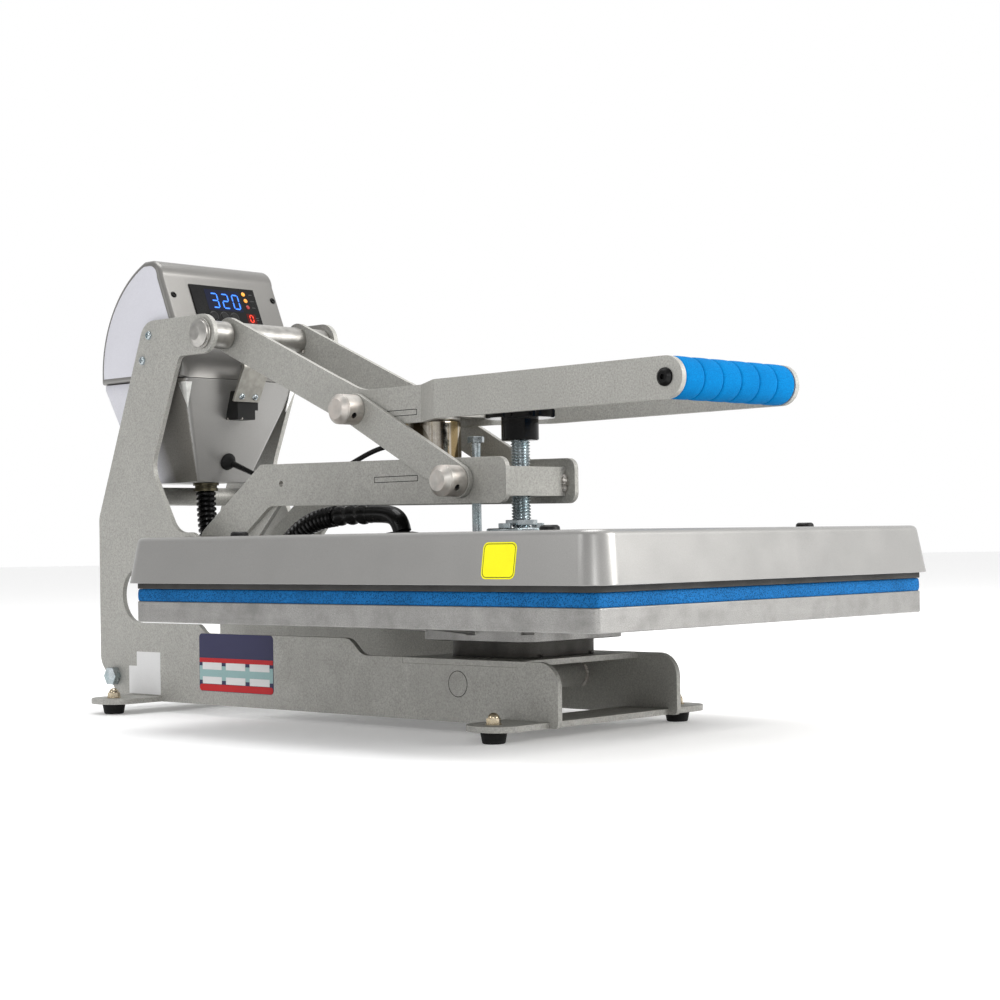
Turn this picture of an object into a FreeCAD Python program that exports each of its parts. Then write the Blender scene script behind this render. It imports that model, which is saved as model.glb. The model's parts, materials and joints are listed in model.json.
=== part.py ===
import FreeCAD, Part
import math
import os

# Clamshell heat press, closed on its pad.  Millimetres.
# X runs to the operator's right, Y from the operator to the back, Z up, with the bench at Z = 0.
# Everything is drawn about the pressure screw's axis (X = 0, Y = 0).  save() then moves it so
# that the origin is the middle of the footprint.

# ---------------------------------------------------------------- driving dimensions
SHEET = 4.8                      # steel plate of the frame, arms and links
PLATEN_X, PLATEN_Y = 406.4, 508  # 16 x 20 inch platen
PLATEN_TOP = 108.2
PLATEN_RIM = 17.4
PAD_THICK = 10.1
TOUCH = 0.3                      # gap between faces that meet on different bodies
FIT = 0.06                       # radial running clearance of pins and shafts

FRAME_OUT = 75.5                 # outer face of the side plates
FRAME_IN = FRAME_OUT - SHEET
ARM_OUT = 44.4                   # outer face of the platen arm and of the lever's rear part
ARM_IN = ARM_OUT - SHEET
LINK_IN = ARM_OUT + 0.6          # toggle links lie outside the arms
LINK_OUT = LINK_IN + SHEET
GRIP_OUT = 73.5                  # outer face of the lever's front part
GRIP_IN = GRIP_OUT - SHEET

LEVER_PIVOT = (322, 346.5)       # Y, Z of the four axes
UPPER_PIN = (147, 268.3)
LOWER_PIN = (25.8, 203.5)
ARM_PIVOT = (344, 150)
GRIP_AXIS = (-211.8, 271.7)

COVER_FRONT, COVER_REAR = -262.6, 265
COVER_HALF_X = 210.7
COVER_LOW, COVER_HIGH = 123.2, 161.1
BOX_REAR = 485.4
FOOT_X = 112.4
FOOT_Y = (-71, 411)
STRIP_LOW, STRIP_HIGH = 9.6, 14.4

DECK_LOW, DECK_HIGH = 55.2, 60
DECK_FRONT, DECK_BACK = -63, 66
PEDESTAL_TOP = 73.5

SCREW_R = 8.1
SCREW_LOW, SCREW_HIGH = 147, 250
BLOCK_LOW, BLOCK_HIGH = 190.5, 214.7
GUIDE_Y = 51
CAP_X, CAP_Y = 158, 172
MAGNET_Y = 102.7
MAGNET_R = 25
MAGNET_LOW = 209.8
STRIKER_LOW, STRIKER_HIGH = 257.4, 260.5
SLOT_FRONT, SLOT_BACK = 76, 129.4

SEAM = 309.5                     # joint between the control box's shell and its pan
FACE_FOOT = (363.4, 345)         # the sloping control face starts here
FACE_TILT = math.degrees(math.atan(0.43))
BOX_HALF_X = 69.5
PANEL_CENTRE_Z = 382.8
PANEL_THICK = 1.4
BUTTON_NAMES = ("button_set", "button_down", "button_up")
BUTTON_X = (-19, -6.5, 6)
BUTTON_DROP = -13.2
BOX_SCREWS = ((400.5, 351), (410.5, 328))   # Y, Z of the screws that hold the shell
PAN_FOOT = (386, 214)            # lower front edge of the pan
PAN_TILT = -math.degrees(math.atan(26 / 82))
BACK_FOOT = (474, 214)           # lower back edge of the pan
BACK_TILT = math.degrees(math.atan(9.2 / 82))
INLET_ALONG = 50

BASE_BAR = (2.6, 40.2)           # Y, Z of the cross members
REAR_TUBE = (445, 201.5)
TIE_AXIS = (459, 31)
LINK_HOLE = (250.6, 207.7)

PIN_R = 8
PIN_END = 72.4
COLLAR_OUT = 67.2
SHAFT_R = 9.5

PAD_TOP = PLATEN_TOP + PAD_THICK
HEATER_LOW = PAD_TOP + TOUCH
HEATER_HIGH = 134
HEATER_BOSS_TOP = 150
COVER_SHEET = 1.6
COVER_DRAFT = 6
FLANGE_TOP = 164.2
GUIDE_HEAD_LOW = 236.7
LOOM_EXIT_Y = 141.5

FOOTPRINT_MID_Y = (COVER_FRONT + BOX_REAR) / 2

os.makedirs("parts", exist_ok=True)


# ---------------------------------------------------------------- helpers
def save(name, shape):
    """Write one sub-part, moved so that the origin is the middle of the footprint."""
    shape = shape.copy()
    shape.translate(FreeCAD.Vector(0, -FOOTPRINT_MID_Y, 0))
    shape.exportStep("parts/" + name + ".step")


def group(shapes):
    return Part.makeCompound(shapes)


def fuse(shapes):
    body = shapes[0]
    for shape in shapes[1:]:
        body = body.fuse(shape)
    return body.removeSplitter()


def mirrored(shape):
    return shape.mirror(FreeCAD.Vector(0, 0, 0), FreeCAD.Vector(1, 0, 0))


def pair(shape):
    """The shape on the right and its mirror image on the left, as separate solids."""
    return group([shape, mirrored(shape)])


def rounded_wire(corners, place):
    """Closed wire through corners (a, b, radius), each corner rounded by a tangent arc."""
    edges = []
    arcs = []
    count = len(corners)
    for i, (a, b, radius) in enumerate(corners):
        here = FreeCAD.Vector(a, b, 0)
        back = FreeCAD.Vector(*corners[i - 1][:2], 0) - here
        ahead = FreeCAD.Vector(*corners[(i + 1) % count][:2], 0) - here
        back.normalize()
        ahead.normalize()
        half = back.getAngle(ahead) / 2
        reach = radius / math.tan(half)
        bisector = (back + ahead).normalize()
        middle = here + bisector * (radius / math.sin(half) - radius)
        arcs.append((here + back * reach, middle, here + ahead * reach, radius))
    for i, (start, middle, end, radius) in enumerate(arcs):
        if radius:
            edges.append(Part.Arc(place(start), place(middle), place(end)).toShape())
        follower = arcs[(i + 1) % count][0]
        if (follower - end).Length > 1e-6:
            edges.append(Part.LineSegment(place(end), place(follower)).toShape())
    return Part.Wire(edges)


def side_view(point):
    return FreeCAD.Vector(0, point.x, point.y)


def top_view(height):
    return lambda point: FreeCAD.Vector(point.x, point.y, height)


def side_plate(corners, x_low, x_high):
    """Plate with a (Y, Z, radius) outline, between two X planes."""
    face = Part.Face(rounded_wire(corners, side_view))
    face.translate(FreeCAD.Vector(x_low, 0, 0))
    return face.extrude(FreeCAD.Vector(x_high - x_low, 0, 0))


def flat_plate(corners, z_low, z_high):
    """Plate with an (X, Y, radius) outline, between two heights."""
    face = Part.Face(rounded_wire(corners, top_view(z_low)))
    return face.extrude(FreeCAD.Vector(0, 0, z_high - z_low))


def rectangle(half_x, y_low, y_high, radius):
    return [(-half_x, y_low, radius), (half_x, y_low, radius),
            (half_x, y_high, radius), (-half_x, y_high, radius)]


def box(x_low, x_high, y_low, y_high, z_low, z_high):
    corner = FreeCAD.Vector(x_low, y_low, z_low)
    return Part.makeBox(x_high - x_low, y_high - y_low, z_high - z_low, corner)


def rod_x(radius, x_low, x_high, axis):
    return Part.makeCylinder(radius, x_high - x_low, FreeCAD.Vector(x_low, *axis), FreeCAD.Vector(1, 0, 0))


def rod_z(radius, z_low, z_high, x=0, y=0):
    return Part.makeCylinder(radius, z_high - z_low, FreeCAD.Vector(x, y, z_low))


def turned_x(profile, axis):
    """Solid of revolution about an X axis, from (x, radius) points."""
    points = [FreeCAD.Vector(x, axis[0], axis[1] + radius) for x, radius in profile]
    wire = Part.makePolygon(points + [points[0]])
    return Part.Face(wire).revolve(FreeCAD.Vector(0, *axis), FreeCAD.Vector(1, 0, 0), 360)


def turned_z(profile, x=0, y=0):
    """Solid of revolution about a vertical axis, from (radius, z) points."""
    points = [FreeCAD.Vector(x + radius, y, z) for radius, z in profile]
    wire = Part.makePolygon(points + [points[0]])
    return Part.Face(wire).revolve(FreeCAD.Vector(x, y, 0), FreeCAD.Vector(0, 0, 1), 360)


def hexagon(across_flats, height, base, axis):
    """Hexagonal prism such as a nut or a bolt head."""
    radius = across_flats / math.sqrt(3)
    points = []
    for i in range(7):
        angle = math.radians(60 * i + 30)
        points.append(FreeCAD.Vector(radius * math.cos(angle), radius * math.sin(angle), 0))
    prism = Part.Face(Part.makePolygon(points)).extrude(FreeCAD.Vector(0, 0, height))
    prism.Placement = FreeCAD.Placement(base, FreeCAD.Rotation(FreeCAD.Vector(0, 0, 1), axis))
    return prism


def on_face(shape, x, foot, tilt, along, out, front=True):
    """Put a shape drawn about Z onto a face that leans back by tilt degrees from the vertical.

    along is the distance up the face from foot (Y, Z), and out the distance in front of it.
    The shape's +Z becomes the face's outward normal, and its +Y runs up the face.  A face on the
    back of the object has its normal, and the shape's X, turned round.
    """
    lean = math.radians(tilt)
    facing = 1 if front else -1
    across = FreeCAD.Vector(facing, 0, 0)
    up = FreeCAD.Vector(0, math.sin(lean), math.cos(lean))
    normal = FreeCAD.Vector(0, -math.cos(lean), math.sin(lean)) * facing
    spot = FreeCAD.Vector(x, *foot) + up * along + normal * out
    placed = shape.copy()
    placed.Placement = FreeCAD.Placement(spot, FreeCAD.Rotation(across, up, normal, "ZXY"))
    return placed


def loft(sections):
    """Solid with straight sides through (z, half_x, y_low, y_high, radius) sections."""
    wires = [rounded_wire(rectangle(hx, y0, y1, r), top_view(z)) for z, hx, y0, y1, r in sections]
    return Part.makeLoft(wires, True, True)


def cord_tube(name, route, diameter):
    """Tube along straight runs joined by tangent arcs, each as large as its runs allow."""
    points = [FreeCAD.Vector(*point) for point in route]
    edges = []
    radii = []
    start = points[0]
    for before, here, after in zip(points, points[1:], points[2:]):
        back = before - here
        ahead = after - here
        shorter = min(back.Length, ahead.Length)
        back.normalize()
        ahead.normalize()
        half_turn = (math.pi - back.getAngle(ahead)) / 2
        reach = 0.45 * shorter
        radius = reach / math.tan(half_turn)
        middle = here + (back + ahead).normalize() * (radius / math.cos(half_turn) - radius)
        entry = here + back * reach
        leave = here + ahead * reach
        edges.append(Part.LineSegment(start, entry).toShape())
        edges.append(Part.Arc(entry, middle, leave).toShape())
        radii.append(radius)
        start = leave
    edges.append(Part.LineSegment(start, points[-1]).toShape())
    path = Part.Wire(edges)
    circle = Part.Wire(Part.makeCircle(diameter / 2, points[0], points[1] - points[0]))
    tube = path.makePipeShell([circle], True, False)
    ratio = tube.Volume / (math.pi * diameter ** 2 / 4 * path.Length)
    print(name, "length", round(path.Length, 1), "bend radii", [round(r) for r in radii],
          "volume ratio", round(ratio, 4))
    return tube


# ---------------------------------------------------------------- frame
def frame_side():
    """Right side plate: low channel wall, throat for the cloth, column and shaft nose."""
    nose_y, nose_z = LEVER_PIVOT
    horn_y, horn_z = ARM_PIVOT
    outline = [
        (-104, STRIP_LOW, 4), (-104, DECK_HIGH, 19), (114, DECK_HIGH, 16), (130, 74, 16),
        (322, 74, 8), (332, 82, 8), (446, 82, 26), (446, horn_z - 16, 26),
        (horn_y - 16, horn_z - 16, 15.9), (horn_y - 16, horn_z + 16, 15.9), (363, horn_z + 16, 22),
        (399, 227, 26), (356, nose_z - 18, 8), (nose_y - 18, nose_z - 18, 17.9),
        (nose_y - 18, nose_z + 18, 17.9), (408, nose_z + 18, 20), (482, 181.7, 14),
        (482, 44, 16), (452, STRIP_LOW, 6),
    ]
    plate = side_plate(outline, FRAME_IN, FRAME_OUT)
    cuts = [
        box(FRAME_IN, FRAME_OUT, DECK_FRONT, DECK_BACK, DECK_LOW, DECK_HIGH + 1),
        rod_x(SHAFT_R, FRAME_IN, FRAME_OUT, LEVER_PIVOT),
        rod_x(8, FRAME_IN, FRAME_OUT, ARM_PIVOT),
        rod_x(10.6, FRAME_IN, FRAME_OUT, BASE_BAR),
        rod_x(4.1, FRAME_IN, FRAME_OUT, TIE_AXIS),
    ]
    for y, z in BOX_SCREWS:
        cuts.append(rod_x(2.1, FRAME_IN, FRAME_OUT, (y, z)))
    for y in FOOT_Y:
        cuts.append(box(FRAME_IN, FRAME_OUT, y - 24, y + 24, STRIP_LOW, STRIP_HIGH))
    for cut in cuts:
        plate = plate.cut(cut)
    return plate


right_side = frame_side()
save("side_plate_right", right_side)
save("side_plate_left", mirrored(right_side))

deck = flat_plate(rectangle(FRAME_OUT, DECK_FRONT, DECK_BACK, 0.5), DECK_LOW, DECK_HIGH)
save("deck_plate", deck)


save("base_cross_bar", rod_x(10.6, -FRAME_OUT, FRAME_OUT, BASE_BAR))
rear_tube = rod_x(8.8, -FRAME_IN, FRAME_IN, REAR_TUBE)
save("rear_cross_tube", rear_tube.cut(rod_x(6.8, -FRAME_IN, FRAME_IN, REAR_TUBE)))


def foot_strip(y):
    """Flat strip under both side plates, with rounded ears for the feet."""
    strip = flat_plate(rectangle(130, y - 24, y + 24, 20), STRIP_LOW, STRIP_HIGH)
    for x in (-FOOT_X, FOOT_X):
        strip = strip.cut(rod_z(3.2, STRIP_LOW, STRIP_HIGH, x, y))
    return strip


save("foot_strips", group([foot_strip(y) for y in FOOT_Y]))

feet = []
foot_nuts = []
for foot_y in FOOT_Y:
    for foot_x in (-FOOT_X, FOOT_X):
        rubber = turned_z([(0, 0), (8.2, 0), (9, 0.8), (10.6, STRIP_LOW), (0, STRIP_LOW)], foot_x, foot_y)
        feet.append(rubber.cut(rod_z(3.1, 3, STRIP_LOW, foot_x, foot_y)))
        stud = rod_z(3, 3.2, STRIP_HIGH, foot_x, foot_y)
        washer = rod_z(6.2, STRIP_HIGH, STRIP_HIGH + 1, foot_x, foot_y)
        nut_base = FreeCAD.Vector(foot_x, foot_y, STRIP_HIGH + 1)
        nut = hexagon(10, 4, nut_base, FreeCAD.Vector(0, 0, 1))
        dome = Part.makeSphere(4.6, FreeCAD.Vector(foot_x, foot_y, STRIP_HIGH + 4.6))
        dome = dome.common(rod_z(5, STRIP_HIGH + 4, STRIP_HIGH + 12, foot_x, foot_y))
        foot_nuts.append(fuse([stud, washer, nut, dome]))
save("rubber_feet", group(feet))
save("foot_nuts", group(foot_nuts))

tie_rod = rod_x(4, -FRAME_OUT, FRAME_OUT, TIE_AXIS)
heads = []
for side in (-1, 1):
    head_base = FreeCAD.Vector(side * FRAME_OUT, *TIE_AXIS)
    heads.append(hexagon(16, 7, head_base, FreeCAD.Vector(side, 0, 0)))
save("tie_bolt", fuse([tie_rod] + heads))

# ---------------------------------------------------------------- lower platen
pedestal = flat_plate(rectangle(48, -46, 46, 20), DECK_HIGH, PEDESTAL_TOP)
for notch_x in (-30, 30):
    for notch_y in (-46, 44):
        notch = box(notch_x - 2.5, notch_x + 2.5, notch_y, notch_y + 2, DECK_HIGH, DECK_HIGH + 2.2)
        pedestal = pedestal.cut(notch)
save("pedestal", pedestal)


def lower_platen():
    """Cast tray upside down: flat top, rim, middle boss and ribs that taper to the corners."""
    half_x, half_y = PLATEN_X / 2, PLATEN_Y / 2
    rim_low = PLATEN_TOP - PLATEN_RIM
    web_low = PLATEN_TOP - 9
    block = flat_plate(rectangle(half_x, -half_y, half_y, 5), rim_low, PLATEN_TOP)
    hollow = flat_plate(rectangle(half_x - 9, 9 - half_y, half_y - 9, 4), rim_low, web_low)
    boss = flat_plate(rectangle(62, -62, 62, 16), PEDESTAL_TOP, web_low)
    pieces = [block.cut(hollow), boss]
    for angle in range(0, 360, 45):
        diagonal = angle % 90 == 45
        reach = 245 if diagonal else 190
        rib_end = reach - 30
        rib_side = [(50, web_low, 0), (50, PEDESTAL_TOP + 4, 0), (rib_end, rim_low + 1, 0),
                    (rib_end, web_low, 0)]
        rib = side_plate(rib_side, -5, 5)
        rib.rotate(FreeCAD.Vector(0, 0, 0), FreeCAD.Vector(0, 0, 1), angle)
        pieces.append(rib)
    return fuse(pieces)


save("lower_platen", lower_platen())
pad_outline = rectangle(PLATEN_X / 2 - 0.4, 0.6 - PLATEN_Y / 2, PLATEN_Y / 2 - 0.6, 4)
save("platen_pad", flat_plate(pad_outline, PLATEN_TOP, PAD_TOP))


# ---------------------------------------------------------------- control box
def shell_outline(inset):
    """Side view of the shell: sloping face in front, domed back, open at the seam."""
    tilt = math.radians(FACE_TILT)
    low_y, low_z = FACE_FOOT
    crest_z = 422.5
    crest_y = low_y + (crest_z - low_z) * math.tan(tilt)
    corners = [
        FreeCAD.Vector(0, 355.5 + inset, SEAM),
        FreeCAD.Vector(0, low_y + inset * 1.1, low_z),
        FreeCAD.Vector(0, crest_y - 7 + inset, crest_z - 16),
        FreeCAD.Vector(0, crest_y + 11, crest_z - inset),
        FreeCAD.Vector(0, 416, crest_z - inset),
        FreeCAD.Vector(0, BOX_REAR - inset, 322),
        FreeCAD.Vector(0, BOX_REAR - inset, SEAM),
    ]
    brow = FreeCAD.Vector(0, crest_y - 1.2 + inset * 0.8, crest_z - 4 - inset * 0.8)
    dome = FreeCAD.Vector(0, 462.5 - inset * 0.8, 387 - inset * 0.6)
    return Part.Wire([
        Part.makeLine(corners[0], corners[1]), Part.makeLine(corners[1], corners[2]),
        Part.Arc(corners[2], brow, corners[3]).toShape(), Part.makeLine(corners[3], corners[4]),
        Part.Arc(corners[4], dome, corners[5]).toShape(), Part.makeLine(corners[5], corners[6]),
        Part.makeLine(corners[6], corners[0]),
    ])


def extruded_shell(inset, half_x):
    face = Part.Face(shell_outline(inset))
    face.translate(FreeCAD.Vector(-half_x, 0, 0))
    return face.extrude(FreeCAD.Vector(2 * half_x, 0, 0))


PANEL_ALONG = (PANEL_CENTRE_Z - FACE_FOOT[1]) / math.cos(math.radians(FACE_TILT))


def control_shell():
    outer = extruded_shell(0, BOX_HALF_X)
    inner = extruded_shell(2, BOX_HALF_X - 2)
    shell = outer.cut(inner)
    window = Part.makeBox(70, 36, 8, FreeCAD.Vector(-35, -18, -5))
    shell = shell.cut(on_face(window, 0, FACE_FOOT, FACE_TILT, PANEL_ALONG, 0))
    for side in (-1, 1):
        for y, z in BOX_SCREWS:
            low = min(side * (BOX_HALF_X - 3), side * (BOX_HALF_X + 1))
            shell = shell.cut(rod_x(2.1, low, low + 4, (y, z)))
    return shell


save("control_shell", control_shell())


def pan_sections(inset):
    """The pan tapers from the shell down to a narrow floor."""
    return [
        (SEAM - 0.2, 66.6 - inset, 355.5 + inset, BOX_REAR - 1 - inset, 5),
        (SEAM - 5, 66.8 - inset, 357.1 + inset, BOX_REAR - 1.4 - inset, 5),
        (SEAM - 13.5, 63.4 - inset, 360 + inset, BOX_REAR - 2.2 - inset, 5),
        (214 + inset, 31 - inset, 386 + inset, 474 - inset, 3),
    ]


pan = loft(pan_sections(0)).cut(loft(pan_sections(1.6)))
pan_mouth = box(-63, 63, 359, BOX_REAR - 5, SEAM - 3, SEAM + 1)
save("control_pan", pan.cut(pan_mouth))

panel = Part.makeBox(78, 38.6, PANEL_THICK, FreeCAD.Vector(-39, -19.3, 0))
for button_x in BUTTON_X:
    panel = panel.cut(rod_z(4.8, -1, PANEL_THICK + 1, button_x, BUTTON_DROP))
save("display_panel", on_face(panel, 0, FACE_FOOT, FACE_TILT, PANEL_ALONG, 0.12))

for button_name, button_x in zip(BUTTON_NAMES, BUTTON_X):
    cap = turned_z([(0, -2.6), (4.4, -2.6), (4.4, 1.9), (3.9, 2.4), (0, 2.4)], button_x, BUTTON_DROP)
    save(button_name, on_face(cap, 0, FACE_FOOT, FACE_TILT, PANEL_ALONG, 0))

board = Part.makeBox(100, 56, 1.6, FreeCAD.Vector(-50, -28, -14))
relay = Part.makeBox(30, 20, 16, FreeCAD.Vector(14, -24, -30))
capacitor = rod_z(7, -34, -14, -30, 10)
board = fuse([board, relay, capacitor])
save("control_board", on_face(board, 0, FACE_FOOT, FACE_TILT, PANEL_ALONG - 4, 0))


def pan_screw(y, z):
    """Pan-head screw through a side plate into the shell, drawn on the right."""
    head = turned_x([(0, 0), (0, 4), (1.2, 3.8), (2.4, 2.4), (2.6, 0)], (y, z))
    head.translate(FreeCAD.Vector(FRAME_OUT, 0, 0))
    return head.fuse(rod_x(2, BOX_HALF_X - 4, FRAME_OUT, (y, z)))


side_screws = []
for screw_y, screw_z in BOX_SCREWS:
    screw = pan_screw(screw_y, screw_z)
    side_screws += [screw, mirrored(screw)]

SWITCH_BRACKET_X = (-19, 12)


def switch_bracket():
    """Bent strip that stands out from the shell and holds the end-of-travel switch."""
    outline = [(348.6, 289.2, 0.5), (346.4, 288.2, 0.5), (329.6, 320, 3.5), (331, 324, 3),
               (358.3, 324, 0), (358.1, 321.5, 0), (332.6, 321.5, 1)]
    strip = side_plate(outline, *SWITCH_BRACKET_X)
    return strip.cut(box(-20, 2, 336, 360, 320, 326))


save("switch_bracket", switch_bracket())
switch_body = side_plate([(362.5, 299, 1), (349, 299, 1), (349, 294, 0.5), (353, 287, 0.5), (353, 272, 1),
                          (366.5, 272, 1)], -12, 13)
save("limit_switch", switch_body.cut(loft(pan_sections(0))))
for screw_x in (-11, 5):
    head = turned_z([(0, 0), (3.2, 0), (3, 1.4), (2, 2.1), (0, 2.3)])
    side_screws.append(on_face(head, screw_x, (346.4, 288.2), -27.8, 5.4, 0.05))
save("zinc_screws", group(side_screws))

gland = turned_z([(0, 206), (11.6, 206), (11.6, 209), (10.6, 209), (10.6, 211.5), (12.4, 211.5),
                  (12.4, 214), (0, 214)], 0, 413)
save("loom_gland", gland)

grommet = turned_z([(0, 0), (8.2, 0), (8.2, 1.6), (5.4, 4.6), (3.6, 9), (0, 9)])
save("cable_grommet", on_face(grommet, 0, PAN_FOOT, PAN_TILT, 20.5, 0.05))


# Mains inlet and rocker switch in the pan's sloping back.
inlet = Part.makeBox(48, 28, 3, FreeCAD.Vector(-24, -14, 0))
inlet = inlet.cut(Part.makeBox(28, 18, 2.4, FreeCAD.Vector(-20, -9, 0.6)))
for prong_x in (-12, -6, 0):
    inlet = inlet.fuse(Part.makeBox(1.8, 4, 2, FreeCAD.Vector(prong_x - 0.9, -2, 0.6)))
rocker_well = Part.makeBox(11, 20, 2.4, FreeCAD.Vector(11, -10, 0.6))
inlet = inlet.cut(rocker_well)
save("mains_inlet", on_face(inlet, 0, BACK_FOOT, BACK_TILT, INLET_ALONG, 0.05, front=False))
rocker = Part.makeBox(10.4, 17, 1.6, FreeCAD.Vector(11.3, -8.5, 1.9))
save("power_switch", on_face(rocker, 0, BACK_FOOT, BACK_TILT, INLET_ALONG, 0.05, front=False))

# ---------------------------------------------------------------- shafts and pins
shaft_end = [(0, 0), (0, 14.2), (2.4, 14.2), (2.4, 12.6), (4.4, 12.6), (8.5, 6.8), (8.5, 0)]


def shaft_head():
    head = turned_x(shaft_end, LEVER_PIVOT)
    head.translate(FreeCAD.Vector(FRAME_OUT, 0, 0))
    return head


top_shaft = fuse([rod_x(SHAFT_R, -FRAME_OUT, FRAME_OUT, LEVER_PIVOT), shaft_head(), mirrored(shaft_head())])
save("top_shaft", top_shaft)
spacer = rod_x(12.7, 47.6, FRAME_IN, LEVER_PIVOT).cut(rod_x(SHAFT_R + FIT, 47.6, FRAME_IN, LEVER_PIVOT))
save("shaft_spacers", pair(spacer))

arm_pivot = turned_x([(33, 0), (33, PIN_R - 0.8), (33.8, PIN_R), (ARM_OUT + TOUCH, PIN_R),
                      (ARM_OUT + TOUCH, 13), (FRAME_IN, 13), (FRAME_IN, PIN_R), (FRAME_OUT, PIN_R),
                      (FRAME_OUT, 12), (FRAME_OUT + 2.5, 12), (FRAME_OUT + 3.5, 10),
                      (FRAME_OUT + 3.5, 0)], ARM_PIVOT)
save("arm_pivot_pins", pair(arm_pivot))


# ---------------------------------------------------------------- hand lever
def lever_side():
    """Right lever plate: sloping rear link, level front arm, and a jog out to the grip."""
    jog_back, jog_front = 70, 28
    turn = math.atan2(GRIP_OUT - ARM_OUT, jog_back - jog_front)
    ease = SHEET / 2 * math.tan(turn / 2)
    plan = [
        (ARM_OUT, 345, 0), (ARM_OUT, jog_back + ease, 5), (GRIP_OUT, jog_front - ease, 9),
        (GRIP_OUT, -240, 0), (GRIP_IN, -240, 0), (GRIP_IN, jog_front + ease, 5),
        (ARM_IN, jog_back - ease, 9), (ARM_IN, 345, 0),
    ]
    strip = flat_plate(plan, 240, 380)
    grip_y, grip_z = GRIP_AXIS
    front_arm = [
        (grip_y - 15.9, grip_z - 15.9, 15.8), (grip_y - 15.9, grip_z + 15.9, 15.8), (20, 285.8, 400),
        (143, 284.8, 60), (172, 297.8, 0), (189, 270.6, 0), (152, 254, 18), (20, 254, 400),
    ]
    slope = math.atan2(LEVER_PIVOT[1] - UPPER_PIN[1], LEVER_PIVOT[0] - UPPER_PIN[0])
    length = math.hypot(LEVER_PIVOT[0] - UPPER_PIN[0], LEVER_PIVOT[1] - UPPER_PIN[1])
    rear_link = [(0, -16.4, 12), (length + 17, -16.4, 16), (length + 17, 16.4, 16), (0, 16.4, 12)]
    link = side_plate(rear_link, 30, 80)
    link.rotate(FreeCAD.Vector(0, 0, 0), FreeCAD.Vector(1, 0, 0), math.degrees(slope))
    link.translate(FreeCAD.Vector(0, *UPPER_PIN))
    outline = side_plate(front_arm, 30, 80).fuse(link)
    plate = strip.common(outline)
    plate = plate.cut(rod_x(SHAFT_R + FIT, 30, 80, LEVER_PIVOT))
    plate = plate.cut(rod_x(8.02, 30, 80, UPPER_PIN))
    plate = plate.cut(rod_x(4.1, 30, 80, GRIP_AXIS))
    slot = box(30, 60, SLOT_FRONT, SLOT_BACK, STRIKER_HIGH, STRIKER_HIGH + SHEET)
    return plate.cut(slot).removeSplitter()


right_lever = lever_side()
save("lever_plate_right", right_lever)
save("lever_plate_left", mirrored(right_lever))

hub = rod_x(12.7, -ARM_IN, ARM_IN, LEVER_PIVOT).cut(rod_x(SHAFT_R + FIT, -ARM_IN, ARM_IN, LEVER_PIVOT))
save("lever_hub", hub)

crossbar = box(-ARM_OUT, ARM_OUT, SLOT_FRONT, SLOT_BACK, STRIKER_HIGH, STRIKER_HIGH + SHEET)
save("striker_bracket", crossbar)
striker = turned_z([(0, STRIKER_LOW), (MAGNET_R - 1, STRIKER_LOW), (MAGNET_R, STRIKER_LOW + 1),
                    (MAGNET_R, STRIKER_HIGH), (0, STRIKER_HIGH)], 0, MAGNET_Y)
save("striker", striker)

grip_bar = rod_x(SHAFT_R, -GRIP_IN, GRIP_IN, GRIP_AXIS)
for side in (-1, 1):
    bore = sorted((side * (GRIP_IN - 22), side * GRIP_IN))
    grip_bar = grip_bar.cut(rod_x(4.05, *bore, GRIP_AXIS))
save("grip_bar", grip_bar)


def grip():
    """Soft sleeve of six segments with a groove between each pair."""
    segments = 6
    pitch = (2 * GRIP_IN - 0.6) / segments
    start = -GRIP_IN + 0.3
    profile = [(start, 9.6)]
    for i in range(segments):
        left = start + i * pitch
        right = left + pitch
        profile += [(left + 0.6, 14.6), (left + 2.2, 16), (right - 2.2, 16), (right - 0.6, 14.6)]
    profile.append((start + segments * pitch, 9.6))
    return turned_x(profile, GRIP_AXIS)


save("grip", grip())

grip_bolt = turned_x([(GRIP_OUT - 18, 0), (GRIP_OUT - 18, 4), (GRIP_OUT, 4), (GRIP_OUT, 7),
                      (GRIP_OUT + 1.6, 6.8), (GRIP_OUT + 3.6, 4.4), (GRIP_OUT + 3.6, 0)], GRIP_AXIS)
hex_recess = hexagon(4, 2.4, FreeCAD.Vector(GRIP_OUT + 1.4, *GRIP_AXIS), FreeCAD.Vector(1, 0, 0))
save("grip_bolts", pair(grip_bolt.cut(hex_recess)))

def pin_profile(inner_end):
    """Pin with a bevelled head, drawn on the right from its inner end outwards."""
    return [(inner_end, 0), (inner_end, PIN_R), (COLLAR_OUT + 0.2, PIN_R), (COLLAR_OUT + 0.2, 12.6),
            (COLLAR_OUT + 1, 12.9), (PIN_END, 8.6), (PIN_END, 0)]


def collar(axis):
    body = turned_x([(LINK_OUT + TOUCH, PIN_R + 0.02), (LINK_OUT + TOUCH, 13), (COLLAR_OUT - 0.6, 13),
                     (COLLAR_OUT, 12.4), (COLLAR_OUT, PIN_R + 0.02)], axis)
    thread = Part.makeCylinder(2.8, 8, FreeCAD.Vector(LINK_OUT + 11, axis[0] - 6, axis[1] - 4),
                               FreeCAD.Vector(0, -0.94, -0.34))
    return body.cut(thread)


save("upper_pins", group([pair(turned_x(pin_profile(ARM_IN), UPPER_PIN)), pair(collar(UPPER_PIN))]))

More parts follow.
